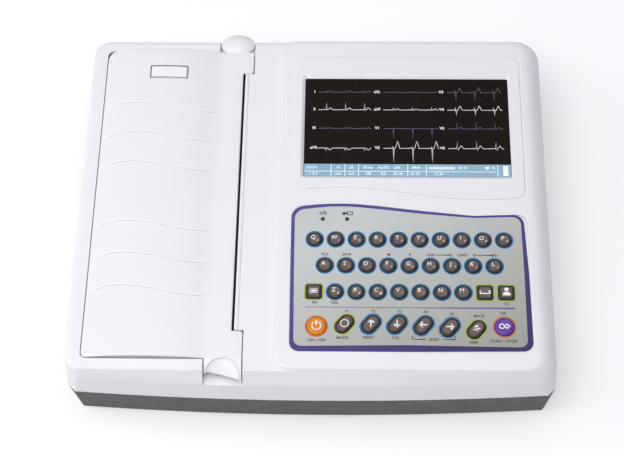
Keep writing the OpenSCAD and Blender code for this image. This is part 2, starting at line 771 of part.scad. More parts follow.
module chip(x, y, z, w, d, h) {
    translate([x - w / 2, y - d / 2, z]) cube([w, d, h]);
}

module key_board() {
    color("darkgreen") {
        block([key_board_x0, key_board_y0, key_board_z - board_t], [key_board_x1, key_board_y1, key_board_z]);
        for (i = [0, 1]) translate([led_x + i * led_pitch, led_y, key_board_z])
            cylinder(r = led_r - 0.2, h = z_top - overlay_t - key_board_z);
        chip(key_board_x1 - 20, key_board_y0 + 15, key_board_z - board_t - 4, 24, 6, 4 + EPS);
    }
}

main_x0 = tub_x1 + 12;
main_x1 = main_x0 + board_w;
main_y0 = battery_y + battery_d / 2 + 6;
main_y1 = rear_y0 - 20;
main_z = z_floor + wall + 6;
post_inset = 5;
// Packages on the main board: place from its middle, then width, depth and height
MAIN_CHIPS = [[-20, 10, 27, 27, 2.5], [18, 12, 14, 18, 1.6], [18, -14, 14, 18, 1.6],
    [-30, -40, 30, 24, 9], [30, -44, 22, 16, 12]];
module main_board() {
    cx = (main_x0 + main_x1) / 2;
    cy = (main_y0 + main_y1) / 2;
    unit = board_w / 112;
    color("green") {
        block([main_x0, main_y0, main_z], [main_x1, main_y1, main_z + board_t]);
        for (c = MAIN_CHIPS)
            chip(cx + c[0] * unit, cy + c[1] * unit, main_z + board_t, c[2] * unit, c[3] * unit, c[4] * unit);
        for (i = [0 : 3]) translate([cx + (i * 14 - 36) * unit, cy + 48 * unit, main_z + board_t])
            cylinder(r = 5 * unit, h = 13 * unit);
        for (x = [main_x0 + post_inset, main_x1 - post_inset])
            for (y = [main_y0 + post_inset, main_y1 - post_inset]) translate([x, y, z_floor + wall])
                cylinder(r = post_inset * 0.6, h = main_z - z_floor - wall);
    }
}

psu_x0 = main_x1 + 6;
psu_x1 = body_w / 2 - supply_margin;
psu_slots = 8;
module power_supply() {
    y1 = rear_y0 - wall - inlet_depth - 8;
    y0 = y1 - supply_d;
    z0 = z_floor + wall;
    pitch = supply_d / (psu_slots + 2);
    color("silver") difference() {
        block([psu_x0, y0, z0], [psu_x1, y1, z_part - 2]);
        block([psu_x0 + 1, y0 + 1, z0 + 1], [psu_x1 - 1, y1 - 1, z_part - 3]);
        for (i = [1 : psu_slots])
            block([psu_x0 + pitch, y0 + (i + 0.3) * pitch, z_part - 4],
                [psu_x1 - pitch, y0 + (i + 0.6) * pitch, z_part]);
    }
}

// ---- Printer ----

module tub_block(inset, z0, z1) {
    translate([(tub_x0 + tub_x1) / 2, (tub_y0 + tub_y1) / 2, z0]) linear_extrude(z1 - z0)
        rounded_rect(tub_x1 - tub_x0 - 2 * inset, tub_y1 - tub_y0 - 2 * inset, tub_r - inset);
}

module printer_frame() {
    color("lightgray") {
        difference() {
            tub_block(0, tub_z0, tub_z1);
            tub_block(frame_t, tub_z0 + frame_t, z_top);
            // Room for the two finger tabs and their recesses
            tab_recess(wall + 0.3);
            rear_tab_recess(wall + 0.3);
        }
        hinge_ears();
        side_plates();
    }
}

// Ears under the ends of the deck, each with a fixed pin for the lid
module hinge_ears() {
    ear_z = z_deck - wall + tub_relief - 0.3;
    for (e = [[tub_y0, tub_y0 + frame_t, 1], [tub_y1, tub_y1 - frame_t, -1]]) {
        block([hinge_x - 4, min(e[0], e[1]), tub_z1 - 1], [hinge_x + 4, max(e[0], e[1]), ear_z]);
        root = e[1] - e[2];
        tip = e[1] + e[2] * (lid_gap + 4.9);
        shaft(hinge_x, hinge_z, hinge_pin_r, min(root, tip), max(root, tip));
    }
}

// Upright plates at both ends of the roll, with a peg for the roll's core and pins for the gears
module side_plates() {
    peg_r = core_d / 2 - 0.5;
    z0 = tub_z0 + frame_t;
    for (s = [-1, 1]) {
        y0 = lid_cy + s * plate_y;
        y1 = y0 + s * frame_t;
        difference() {
            block([roll_x - 14, min(y0, y1), z0], [tub_x1 - frame_t, max(y0, y1), plate_top_z]);
            if (s < 0) shaft(pinion_x, pinion_z, 4, y1 - 1, y0 + 1);
        }
        peg_y = lid_cy + s * (paper_w / 2 - 6);
        shaft(roll_x, roll_z, peg_r, min(y0, peg_y), max(y0, peg_y));
    }
    shaft(idler_x, idler_z, gear_pin_r, gear_y - gear_w - 1, lid_cy - plate_y - EPS);
}

head_board_w = paper_w * 4 / 7;
module print_head() {
    reach = platen_d / 2 + paper_gap;
    color("silver") {
        translate([platen_x, lid_cy - paper_w / 2 - 1, platen_z]) rotate([0, 45, 0])
            block([reach, 0, -8], [reach + 4, paper_w + 2, 3]);
        block([tub_x1 - frame_t - 5.5, lid_cy - head_board_w / 2, platen_z - 12],
            [tub_x1 - frame_t, lid_cy + head_board_w / 2, platen_z - 8.8]);
    }
}

module stepper_motor() {
    y1 = lid_cy - plate_y;
    color("dimgray") {
        shaft(pinion_x, pinion_z, motor_d / 2, y1, y1 + motor_l);
        shaft(pinion_x, pinion_z, 1.25, gear_y - gear_w - 0.5, y1 + 1);
        shaft(pinion_x, pinion_z, 3.8, y1 - 1.2, y1 + 1);
        block([pinion_x - motor_d / 2 - 3, y1, pinion_z - 5],
            [pinion_x + motor_d / 2 - 4, y1 + 1, pinion_z + 5]);
    }
}

module tear_bar() {
    n = floor(paper_w / 4);
    pitch = (paper_w + 4) / n;
    y0 = lid_cy - paper_w / 2 - 2;
    color("silver") translate([slot_x1 - 0.6, y0, 0]) rotate([90, 0, 90]) linear_extrude(0.6)
        polygon(concat([[0, z_deck - 8], [0, z_deck - 1.5]],
            [for (i = [0 : n - 1]) for (k = [0, 1])
                [(i + k / 2 + 0.25) * pitch, z_deck - (k == 0 ? 0.5 : 1.5)]],
            [[n * pitch, z_deck - 8]]));
}

// ---- Moving printer parts ----

// Height of the lid's outer surface at x
function lid_z(x) = let (t = min(1, max(0, (x - lid_x0) / arch_w)))
    lid_edge_z + (lid_crown - lid_edge_z + z_deck) * 4 * t * (1 - t);

lid_arc_a = 180 - asin((lid_edge_z - hinge_z) / hinge_edge_r);
function lid_skin(steps) = let (
        xs = [for (i = [0 : steps]) mix(hinge_x + hinge_edge_r * cos(lid_arc_a), lid_x0 + arch_w, i / steps)],
        top = [for (x = xs) [x, lid_z(x)]],
        under = [for (i = [steps : -1 : 1]) [xs[i], lid_z(xs[i]) - lid_t]])
    concat(arc([hinge_x, hinge_z], hinge_edge_r, 180, lid_arc_a, 4), top, [[tab_x1 + 1, lid_edge_z]],
        [[tab_x1 + 1, lid_edge_z - lid_t]], under,
        arc([hinge_x, hinge_z], hinge_edge_r - lid_t, lid_arc_a + 8, 180, 4));

// Region under the lid's skin, down to height z
function lid_inside(z) = concat(
    [for (i = [0 : 12]) let (x = mix(lid_x0 + 3, lid_x0 + arch_w, i / 12)) [x, lid_z(x) - lid_t / 2]],
    [[tab_x1, lid_edge_z - lid_t / 2], [tab_x1, z], [lid_x0 + 6, z], [lid_x0 + 3, hinge_z]]);

module along_y(y0, y1) {
    translate([0, y1, 0]) rotate([90, 0, 0]) linear_extrude(y1 - y0) children();
}

module lid_plan() {
    polygon(concat(
        arc([lid_x0 + lid_front_r, lid_y0 + lid_front_r], lid_front_r, 180, 270, corner_steps),
        [[tab_x1, lid_y0], [tab_x1, front_step_y], [lid_x1, front_step_y],
        [lid_x1, rear_step_y], [tab_x1, rear_step_y], [tab_x1, lid_y1]],
        arc([lid_x0 + lid_rear_r, lid_y1 - lid_rear_r], lid_rear_r, 90, 180, corner_steps)));
}

module paper_lid() {
    skirt_z = hinge_z - 3.5;
    color("white") {
        intersection() {
            union() {
                along_y(lid_y0, lid_y1) polygon(lid_skin(16));
                difference() {
                    union() {
                        along_y(lid_y0, lid_y0 + 2.6) polygon(lid_inside(skirt_z));
                        along_y(lid_y1 - 2.6, lid_y1) polygon(lid_inside(skirt_z));
                    }
                    shaft(hinge_x, hinge_z, hinge_pin_r + run_gap, lid_y0 - 1, lid_y1 + 1);
                    // The walls of the tab recesses pass under the ends of the skirts
                    block([tab_x0 - 5, lid_y0 - 1, skirt_z - 1],
                        [tab_x1 + 1, lid_y1 + 1, z_deck - wall + 0.2]);
                }
            }
            linear_extrude(z_top + 20) lid_plan();
        }
        bearing_arms();
        front_tab();
        rear_tab();
    }
}

// Arms under the lid that carry the platen's shaft
module bearing_arms() {
    for (s = [-1, 1]) {
        y0 = lid_cy + s * arm_y;
        y1 = y0 + s * arm_t;
        difference() {
            union() {
                block([platen_x - 5, min(y0, y1), platen_z],
                    [platen_x + 5, max(y0, y1), lid_edge_z - lid_t / 2]);
                shaft(platen_x, platen_z, 5, min(y0, y1), max(y0, y1));
            }
            shaft(platen_x, platen_z, platen_shaft_d / 2 + run_gap, min(y0, y1) - 1, max(y0, y1) + 1);
        }
    }
}

// Visor-shaped tab that hangs over the recess in the front edge
module front_tab() {
    lip_z = z_deck - tab_drop;
    front_x = tab_x1 - 1;
    y_tip = lid_y0 - tab_front;
    y_root = lid_y0 - lid_gap - tab_root;
    block([tab_x0, y_root, lid_edge_z - lid_t], [tab_x1, lid_y0 + 1, lid_edge_z]);
    hull() {
        translate([tab_x0, y_root, lid_edge_z - lid_t]) cube([tab_w, tab_root, lid_t]);
        translate([tab_x0 + 4, lid_y0 - 4, lid_edge_z - lid_t]) cube([tab_w - 7, 1, lid_t]);
        translate([tab_x0, lid_y0 - tab_front + 7.5, lip_z + 1]) cube([2, 1.5, 2]);
        translate([front_x - 1.5, y_tip, lip_z]) cube([2, 1.5, 2]);
        translate([front_x - 1.5, lid_y0 - 2, lid_edge_z - lid_t]) cube([2, 2, lid_t]);
    }
}

// Shell-shaped tab that stands out over the rear wall
module rear_tab() {
    y_tip = rear_y0 + tab_rear_over;
    y_root = lid_y1 + lid_gap + tab_root;
    r = tab_w / 2;
    block([tab_x0, lid_y1 - 1, lid_edge_z - lid_t], [tab_x1, y_root, lid_edge_z]);
    hull() {
        translate([tab_x0, y_root - tab_root, lid_edge_z - lid_t]) cube([tab_w, tab_root, lid_t]);
        intersection() {
            translate([tab_x0 + r, y_tip - r, lid_edge_z - 5]) cylinder(r = r, h = 6, $fn = 32);
            block([tab_x0, lid_y1 + lid_gap + lid_t, lid_edge_z - 5], [tab_x1, y_tip + 1, lid_edge_z + 1]);
        }
    }
}

module platen_roller() {
    color("darkslategray") {
        shaft(platen_x, platen_z, platen_d / 2, lid_cy - platen_l / 2, lid_cy + platen_l / 2);
        shaft(platen_x, platen_z, platen_shaft_d / 2, gear_y - gear_w - 0.5, lid_cy + arm_y + arm_t + 1);
    }
}

module platen_gear() {
    color("ivory") train_gear(platen_x, platen_z, platen_teeth, 0, platen_shaft_d / 2 + 0.01);
}

module idler_gear() {
    color("ivory") train_gear(idler_x, idler_z, idler_teeth, idler_turn, gear_pin_r + run_gap);
}

module motor_pinion() {
    color("goldenrod") train_gear(pinion_x, pinion_z, pinion_teeth, pinion_turn, 1.25 + run_gap);
}

module paper_roll() {
    color("mistyrose") translate([roll_x, lid_cy - paper_w / 2, roll_z]) rotate([-90, 0, 0]) difference() {
        cylinder(r = roll_d / 2, h = paper_w);
        translate([0, 0, -1]) cylinder(r = core_d / 2, h = paper_w + 2);
    }
}

// ---- Power, connections, feet and fasteners ----

module battery_pack() {
    color("royalblue") translate([battery_x, battery_y, battery_z]) linear_extrude(battery_h)
        rounded_rect(battery_w, battery_d, 3);
}

module battery_door() {
    w = battery_w + 2 * (battery_gap + door_lap - door_gap);
    d = battery_d + 2 * (battery_gap + door_lap - door_gap);
    color("dimgray") {
        block([battery_x - w / 2, battery_y - d / 2, z_floor],
            [battery_x + w / 2, battery_y + d / 2, z_floor + wall]);
        for (i = [0 : 4])
            translate([battery_x + w / 2 - 16 + i * grip_pitch, battery_y - grip_l / 2, z_floor - grip_h])
                cube([grip_pitch / 2, grip_l, grip_h + EPS]);
    }
}

module mains_inlet() {
    y1 = rear_y0 + 1.2;
    cav_w = inlet_w - 3;
    cav_h = inlet_h - 3.6;
    color("black") {
        difference() {
            union() {
                block([inlet_x - inlet_w / 2 - 2, rear_y0, inlet_z - inlet_h / 2 - 2],
                    [inlet_x + inlet_w / 2 + 2, y1, inlet_z + inlet_h / 2 + 2]);
                block([inlet_x - inlet_w / 2 + 0.3, rear_y0 - inlet_depth, inlet_z - inlet_h / 2 + 0.3],
                    [inlet_x + inlet_w / 2 - 0.3, rear_y0 + EPS, inlet_z + inlet_h / 2 - 0.3]);
            }
            translate([inlet_x, rear_y0 - 15, inlet_z]) rotate([-90, 0, 0]) linear_extrude(20)
                polygon([[-cav_w / 2, -cav_h / 2 + 4], [-cav_w / 2 + 4, -cav_h / 2],
                    [cav_w / 2 - 4, -cav_h / 2],
                    [cav_w / 2, -cav_h / 2 + 4], [cav_w / 2, cav_h / 2], [-cav_w / 2, cav_h / 2]]);
        }
        for (p = [[-7, -2], [0, 2], [7, -2]])
            block([inlet_x + p.x - 1, rear_y0 - inlet_depth + 1, inlet_z + p.y - 2],
                [inlet_x + p.x + 1, rear_y0 - 4, inlet_z + p.y + 2]);
    }
}

// Patient connector with its screw posts, a data socket and a network socket on one small board
module signal_ports() {
    face = port_x;
    color("silver") {
        difference() {
            union() {
                block([face - 1, port_y - 19.6, port_z - 6.2], [face, port_y + 19.6, port_z + 6.2]);
                block([face - 10, port_y - 14, port_z - 5], [face, port_y + 14, port_z + 5]);
                translate([face - EPS, port_y, port_z]) rotate([90, 0, 90]) linear_extrude(3.8)
                    polygon([[-13.7, 4.2], [13.7, 4.2], [12.2, -4.2], [-12.2, -4.2]]);
            }
            for (row = [0, 1]) for (i = [0 : 7 - row])
                translate([face + 1, port_y + (i - 3.5 + row / 2) * 2.77, port_z + 1.4 - 2.8 * row])
                    rotate([0, 90, 0]) cylinder(r = 0.6, h = 6, $fn = 16);
        }
        for (s = [-1, 1])
            translate([face, port_y + s * post_pitch / 2, port_z]) rotate([0, 90, 0]) difference() {
            cylinder(r = 2.7, h = 3.6, $fn = 6);
            translate([0, 0, 0.6]) cylinder(r = post_thread_r, h = 5);
        }
        difference() {
            block([face - 12, usb_y - 6.6, port_z - 3.2], [face + 2, usb_y + 6.6, port_z + 3.2]);
            block([face - 9, usb_y - 6.1, port_z - 2.5], [face + 3, usb_y + 6.1, port_z + 2.5]);
        }
        block([face - 9 - EPS, usb_y - 5, port_z - 0.2], [face + 0.5, usb_y + 5, port_z + 1.6]);
        difference() {
            block([face - 14, net_y - 8, port_z - 6.7], [face + 2, net_y + 8, port_z + 6.7]);
            block([face - 11, net_y - 5.9, port_z - 4], [face + 3, net_y + 5.9, port_z + 4]);
        }
        block([face - 16, port_y - 22, port_z - 6.7 - board_t], [face - 1, net_y + 10, port_z - 6.7]);
        block([face - 9, port_y - 13, port_z - 6.7 - EPS], [face - 2, port_y + 13, port_z - 5 + EPS]);
        block([face - 11, usb_y - 6, port_z - 6.7 - EPS], [face - 2, usb_y + 6, port_z - 3.2 + EPS]);
        for (y = [port_y - 18, net_y + 6]) translate([face - 12, y, z_floor + wall])
            cylinder(r = 3, h = port_z - 6.7 - board_t - z_floor - wall);
    }
}

module feet() {
    color("darkslategray") for (p = foot_spots) translate(concat(p, 0)) rotate_extrude()
        polygon([[0, 1], [foot_r * 0.5, 1], [foot_r * 0.6, 0], [foot_r - 1, 0], [foot_r, 1],
            [foot_r, foot_h], [0, foot_h]]);
}

module screws() {
    color("silver") for (p = boss_spots) translate(concat(p, screw_seat_z - screw_head_h)) {
        difference() {
            union() {
                cylinder(r = screw_head_r, h = screw_head_h);
                cylinder(r = screw_r, h = screw_head_h + screw_l);
            }
            translate([0, 0, -1]) cylinder(r = 1.2, h = 2.2, $fn = 6);
        }
    }
}

base_shell();
top_shell();
keypad_overlay();
display_module();
main_board();
key_board();
power_supply();
printer_frame();
print_head();
stepper_motor();
battery_pack();
battery_door();
mains_inlet();
signal_ports();
feet();
screws();
tear_bar();
paper_lid();
platen_roller();
platen_gear();
idler_gear();
motor_pinion();
paper_roll();
for (i = [0 : LAST_KEY]) key(i);
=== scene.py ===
# %% [markdown]
# # Portable electrocardiograph
#
# A table-top ECG recorder: white upper moulding, dark grey base, a hinged paper lid on the left and a
# display over a rubber keypad on the right. The exact CAD model is the frame. This script gives every
# visible piece its finish and adds what is printed, moulded or inked on it.

# %%
# Frame
import bmesh
import bpy
import math
from mathutils import Matrix, Vector
from mathutils.geometry import delaunay_2d_cdt


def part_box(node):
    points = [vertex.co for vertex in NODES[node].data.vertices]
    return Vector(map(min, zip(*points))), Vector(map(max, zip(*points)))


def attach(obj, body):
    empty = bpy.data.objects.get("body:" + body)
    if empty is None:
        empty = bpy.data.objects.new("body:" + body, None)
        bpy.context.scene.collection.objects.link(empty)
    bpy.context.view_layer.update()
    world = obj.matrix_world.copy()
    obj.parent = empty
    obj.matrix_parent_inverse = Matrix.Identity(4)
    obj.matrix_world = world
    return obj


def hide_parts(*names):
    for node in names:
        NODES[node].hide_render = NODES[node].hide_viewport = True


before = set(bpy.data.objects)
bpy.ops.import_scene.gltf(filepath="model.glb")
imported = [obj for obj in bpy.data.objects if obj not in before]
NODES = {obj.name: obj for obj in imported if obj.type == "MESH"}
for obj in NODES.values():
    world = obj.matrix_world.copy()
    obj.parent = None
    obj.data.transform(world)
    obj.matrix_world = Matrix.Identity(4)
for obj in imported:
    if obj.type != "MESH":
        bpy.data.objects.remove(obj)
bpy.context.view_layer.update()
MM = 0.001
print("CAD nodes:", len(NODES))

# %% [markdown]
# ## Mesh tools
#
# Every printed or moulded piece here is an outline in millimetres that is lofted, extruded or swept. The
# tools return closed meshes with outward normals, placed in the mesh itself, so objects stay at the origin.

# %%
# Mesh tools


def add_object(name, mesh):
    obj = bpy.data.objects.new(name, mesh)
    bpy.context.collection.objects.link(obj)
    return obj


def finish_mesh(bm, mesh, sharp_degrees=35):
    """Turns the normals outward and shades every edge below the angle smooth."""
    bmesh.ops.recalc_face_normals(bm, faces=bm.faces)
    for face in bm.faces:
        face.smooth = True
    for edge in bm.edges:
        edge.smooth = len(edge.link_faces) == 2 and edge.calc_face_angle(0) < math.radians(sharp_degrees)
    bm.to_mesh(mesh)
    bm.free()


def solid(name, verts, faces, sharp_degrees=35):
    """A mesh from vertices in millimetres."""
    mesh = bpy.data.meshes.new(name)
    mesh.from_pydata([(x * MM, y * MM, z * MM) for x, y, z in verts], [], faces)
    bm = bmesh.new()
    bm.from_mesh(mesh)
    bmesh.ops.triangulate(bm, faces=[f for f in bm.faces if len(f.verts) > 4])
    finish_mesh(bm, mesh, sharp_degrees)
    return mesh


def loft(name, loops, sharp_degrees=35):
    """A closed skin over loops of the same number of points, flat at both ends."""
    n = len(loops[0])
    verts = [p for loop in loops for p in loop]
    faces = [tuple(reversed(range(n))), tuple(range((len(loops) - 1) * n, len(loops) * n))]
    for k in range(len(loops) - 1):
        for i in range(n):
            j = (i + 1) % n
            faces.append((k * n + i, k * n + j, (k + 1) * n + j, (k + 1) * n + i))
    return solid(name, verts, faces, sharp_degrees)


def at_height(outline, z):
    return [(x, y, z) for x, y in outline]


def prism(name, outline, z0, z1):
    return loft(name, [at_height(outline, z0), at_height(outline, z1)])


def band(name, outer, inner, z0, z1):
    """A closed flat band between two outlines of the same number of points."""
    n = len(outer)
    verts = at_height(outer, z0) + at_height(inner, z0) + at_height(inner, z1) + at_height(outer, z1)
    faces = []
    for ring in range(4):
        for i in range(n):
            j = (i + 1) % n
            a, b = ring * n, (ring + 1) % 4 * n
            faces.append((a + i, a + j, b + j, b + i))
    return solid(name, verts, faces)


def joined(name, meshes):
    """One mesh of several, which are removed."""
    bm = bmesh.new()
    for mesh in meshes:
        bm.from_mesh(mesh)
        bpy.data.meshes.remove(mesh)
    whole = bpy.data.meshes.new(name)
    finish_mesh(bm, whole)
    return whole


def moved(mesh, x, y, z=0.0):
    mesh.transform(Matrix.Translation((x * MM, y * MM, z * MM)))
    return mesh


# Outlines, anticlockwise, in millimetres
def circle(x, y, r, n=48):
    return [(x + r * math.cos(math.tau * i / n), y + r * math.sin(math.tau * i / n)) for i in range(n)]


def arc(x, y, r, a0, a1, n=8):
    turns = [math.radians(a0 + (a1 - a0) * i / n) for i in range(n + 1)]
    return [(x + r * math.cos(a), y + r * math.sin(a)) for a in turns]


def rounded(x, y, w, d, r, n=8):
    """A rectangle with rounded corners."""
    points = []
    for sx, sy, a in ((1, 1, 0), (-1, 1, 90), (-1, -1, 180), (1, -1, 270)):
        points += arc(x + sx * (w / 2 - r), y + sy * (d / 2 - r), r, a, a + 90, n)
    return points


def capsule(x, y, w, length, lean, n=24):
    """A slot shape whose end centres are a length apart, leaning from the row."""
    dx, dy = (length / 2 * f(math.radians(lean)) for f in (math.cos, math.sin))
    return (arc(x + dx, y + dy, w / 2, lean - 90, lean + 90, n)
            + arc(x - dx, y - dy, w / 2, lean + 90, lean + 270, n))


def flowing(points, per=8, closed=True):
    """A smooth line through the points."""
    n = len(points)
    line = []
    for i in range(n if closed else n - 1):
        at = [points[(i + k) % n] if closed else points[min(max(i + k, 0), n - 1)] for k in (-1, 0, 1, 2)]
        for step in range(per):
            t = step / per
            line.append(tuple(
                0.5 * (2 * b + (c - a) * t + (2 * a - 5 * b + 4 * c - d) * t * t
                       + (3 * b - a - 3 * c + d) * t ** 3)
                for a, b, c, d in zip(*at)))
    return line if closed else line + [points[-1]]


def stroke(name, points, width, z0, z1, closed=False):
    """An inked line: a closed ribbon of constant width along the points."""
    n = len(points)
    left, right = [], []
    for i, (x, y) in enumerate(points):
        before = points[i - 1] if closed or i else points[i]
        after = points[(i + 1) % n] if closed or i < n - 1 else points[i]
        u = Vector((x - before[0], y - before[1]))
        v = Vector((after[0] - x, after[1] - y))
        u, v = (u or v).normalized(), (v or u).normalized()
        normal = Vector((-(u + v).y, (u + v).x)).normalized()
        reach = width / 2 / max(normal.dot(Vector((-v.y, v.x))), 0.4)
        left.append((x + normal.x * reach, y + normal.y * reach))
        right.append((x - normal.x * reach, y - normal.y * reach))
    if closed:
        return band(name, left, right, z0, z1)
    return prism(name, right + left[::-1], z0, z1)


def lettering(name, text, size, x, y, z0, z1, weight=0.0):
    """Flat letters as a closed mesh, centred at a point."""
    curve = bpy.data.curves.new(name, "FONT")
    curve.body = text
    curve.size = size * MM
    curve.extrude = (z1 - z0) / 2 * MM
    curve.offset = weight * MM
    curve.resolution_u = 3
    curve.align_x = "CENTER"
    curve.align_y = "CENTER"
    obj = add_object(name, curve)
    graph = bpy.context.evaluated_depsgraph_get()
    mesh = bpy.data.meshes.new_from_object(obj.evaluated_get(graph))
    bpy.data.objects.remove(obj)
    bpy.data.curves.remove(curve)
    bm = bmesh.new()
    bm.from_mesh(mesh)
    bmesh.ops.remove_doubles(bm, verts=bm.verts, dist=1e-7)
    finish_mesh(bm, mesh)
    return moved(mesh, x, y, (z0 + z1) / 2)


def piece(name, mesh, skin, body, replaces=()):
    """Names a finished piece, gives it its material and ties it to its body."""
    mesh.name = name
    mesh.materials.clear()
    mesh.materials.append(skin)
    obj = add_object(name, mesh)
    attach(obj, body)
    if replaces:
        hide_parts(*replaces)
    return obj


print("mesh tools ready")

# %% [markdown]
# ## Material tools
#
# A finish is a shader with a faint drift of colour and roughness and a fine relief, all from noise in
# object coordinates, so one frame of real millimetres sizes every grain. Constants sit on the shader's own
# sockets. Colours are written as sRGB codes and converted once.

# %%
# Material tools
ROUGH_DRIFT = 0.06


def linear(code):
    parts = [int(code[i:i + 2], 16) / 255 for i in (1, 3, 5)]
    return tuple(p / 12.92 if p <= 0.04045 else ((p + 0.055) / 1.055) ** 2.4 for p in parts) + (1.0,)


def join(owner, a, b):
    getattr(owner, "node_tree", owner).links.new(a, b)


def add(owner, kind, inputs=None, **settings):
    """A new node with its settings. Each input is a value, or a socket that is linked to it."""
    node = getattr(owner, "node_tree", owner).nodes.new(kind)
    for key, value in settings.items():
        setattr(node, key, value)
    for key, value in (inputs or {}).items():
        if isinstance(value, bpy.types.NodeSocket):
            join(owner, value, node.inputs[key])
        else:
            node.inputs[key].default_value = value
    return node


def shader_of(mat):
    return mat.node_tree.nodes["Principled BSDF"]


def finish(name, low, high, roughness, size_mm=40, relief_mm=0.0, grain_mm=0.6, edge_mm=0.0,
           stretch=(1, 1, 1), **sockets):
    """A principled finish with drifting colour and roughness, a relief and softened edges."""
    mat = bpy.data.materials.new(name)
    mat.use_nodes = True
    shader = shader_of(mat)
    for key, value in sockets.items():
        shader.inputs[key.replace("_", " ").title().replace("Ior", "IOR")].default_value = value
    place = add(mat, "ShaderNodeTexCoord").outputs["Object"]
    place = add(mat, "ShaderNodeMapping", {"Vector": place, "Scale": stretch}).outputs["Vector"]
    drift, wear, grain = (
        add(mat, "ShaderNodeTexNoise", {"Vector": place, "Scale": 1 / (size * MM), "Detail": detail})
        for size, detail in ((size_mm, 3.0), (grain_mm * 6, 2.0), (grain_mm, 2.0)))
    blend = add(mat, "ShaderNodeValToRGB", {"Fac": drift.outputs["Fac"]})
    for element, at, code in zip(blend.color_ramp.elements, (0.3, 0.7), (low, high)):
        element.position = at
        element.color = linear(code)
    join(mat, blend.outputs["Color"], shader.inputs["Base Color"])
    span = add(mat, "ShaderNodeMapRange", {
        "Value": wear.outputs["Fac"], "From Min": 0.3, "From Max": 0.7,
        "To Min": roughness - ROUGH_DRIFT, "To Max": roughness + ROUGH_DRIFT})
    join(mat, span.outputs["Result"], shader.inputs["Roughness"])
    normal = None
    if edge_mm:
        normal = add(mat, "ShaderNodeBevel", {"Radius": edge_mm * MM}, samples=4).outputs["Normal"]
    if relief_mm:
        bump = add(mat, "ShaderNodeBump", {
            "Strength": 0.6, "Distance": relief_mm * MM, "Height": grain.outputs["Fac"]})
        if normal:
            join(mat, normal, bump.inputs["Normal"])
        normal = bump.outputs["Normal"]
    if normal:
        join(mat, normal, shader.inputs["Normal"])
    return mat


print("material tools ready")

# %% [markdown]
# ## Finishes
#
# The upper moulding and the lid are white ABS with a cool tint and a satin surface. The base is the same
# plastic in dark grey with a spark-eroded grain, which hides scuffs where the machine is picked up. The
# grain of the real tool is about 0.3 mm; it is drawn at 0.7 mm so that it survives at this viewing distance.

# %%
# Plastics, rubbers, metals and inks


def silicone(name, low, high, roughness):
    return finish(name, low, high, roughness, size_mm=6, relief_mm=0.01, grain_mm=0.4)


def metal(name, low, high, roughness, size_mm, relief_mm=0.004, **settings):
    return finish(name, low, high, roughness, size_mm, relief_mm, metallic=1.0, **settings)


# Injection moulded ABS: satin, so highlights are soft and spread along every edge
white_abs = finish("white_abs", "#e9e9ec", "#ecebee", 0.38, size_mm=60, relief_mm=0.012, grain_mm=0.7,
                   edge_mm=0.7)
# Painted shadow at the foot of a rib: the same ABS made greyer and duller, which sets the crest off
rib_shade = finish("painted_rib_shadow", "#c2c1ca", "#cfced6", 0.5, size_mm=5)
# The rib is the same ABS, glossier, and painted lighter as a highlight along its crest
rib_highlight = finish("rib_crest_painted_highlight", "#f7f7f9", "#fbfbfc", 0.2, size_mm=30, relief_mm=0.004)
# Moulded ABS with a spark-eroded grain: matt, faintly mottled, no sharp highlight
dark_abs = finish("dark_grey_abs", "#383837", "#40403f", 0.55, size_mm=30, relief_mm=0.05, grain_mm=0.7,
                  edge_mm=0.5)
# Moulded nylon whose glass fibres reach the skin: dry, grey and cloudy
frame_pa = finish("glass_filled_nylon", "#8e9094", "#9a9ca0", 0.6, size_mm=18, relief_mm=0.03, grain_mm=0.9)
# Moulded acetal, undyed: a waxy cream with a gentle sheen
acetal = finish("natural_acetal", "#e6e0cf", "#efeadb", 0.38, size_mm=12, relief_mm=0.01)
# Moulded silicone rubber: a dense, flat colour under a broad dim highlight
key_rubber = silicone("dark_silicone", "#62544f", "#6c5d57", 0.45)
# The same silicone painted darker on the sides and rolled edge of the grey caps: painted shade
cap_side_painted_shade = silicone("silicone_skirt_painted_shade", "#332d2d", "#3b3434", 0.5)
orange_rubber = silicone("orange_silicone", "#dc7d14", "#e68a20", 0.42)
violet_rubber = silicone("violet_silicone", "#5f3594", "#6a3c9f", 0.42)
# Nitrile rubber ground to size: an even, dead matt black
platen_rubber = finish("ground_nitrile", "#232325", "#2c2c2e", 0.72, size_mm=8, relief_mm=0.02, grain_mm=0.5)
# Rubber moulded against a rough steel: matt and slightly pitted
foot_rubber = finish("foot_rubber", "#1d1d1d", "#292929", 0.8, size_mm=5, relief_mm=0.04, grain_mm=0.8)
# Moulded black nylon: a low, even sheen
black_nylon = finish("black_nylon", "#161617", "#202021", 0.5, size_mm=10, relief_mm=0.02)
# Solder mask on glass cloth: semi-gloss green that goes from dark to light
green_board = finish("solder_mask", "#0f4a2a", "#1c6a3c", 0.35, size_mm=3, relief_mm=0.02, grain_mm=1.5)
# Heat-shrunk PVC film: smooth blue with slight waves
cell_sleeve = finish("battery_sleeve", "#1f3f80", "#2a4e94", 0.4, size_mm=15, relief_mm=0.02, grain_mm=2)

# Metals keep the shader's own index of refraction
# Rolled sheet, zinc plated: highlights drawn out along one direction
sheet_steel = metal("zinc_plated_sheet", "#b9bcc2", "#cfd2d8", 0.34, 14, 0.006, stretch=(1, 0.08, 1))
# Deep-drawn steel: darker, with faint drawing marks that run one way
can_steel = metal("drawn_steel", "#84868c", "#9c9ea4", 0.3, 9, 0.006, stretch=(0.1, 1, 1))
# Barrel-plated steel: small bright spots
screw_steel = metal("plated_screw", "#b0b2b8", "#c6c8ce", 0.28, 4)
# Stamped and nickel plated: pale, with clean soft reflections
port_steel = metal("nickel_shell", "#b8b8ba", "#cacacc", 0.3, 6)
# Oxide-blackened steel: nearly black, a dim metallic gleam at the edges
blackened_steel = metal("blackened_steel", "#1c1c1e", "#26262a", 0.45, 6)
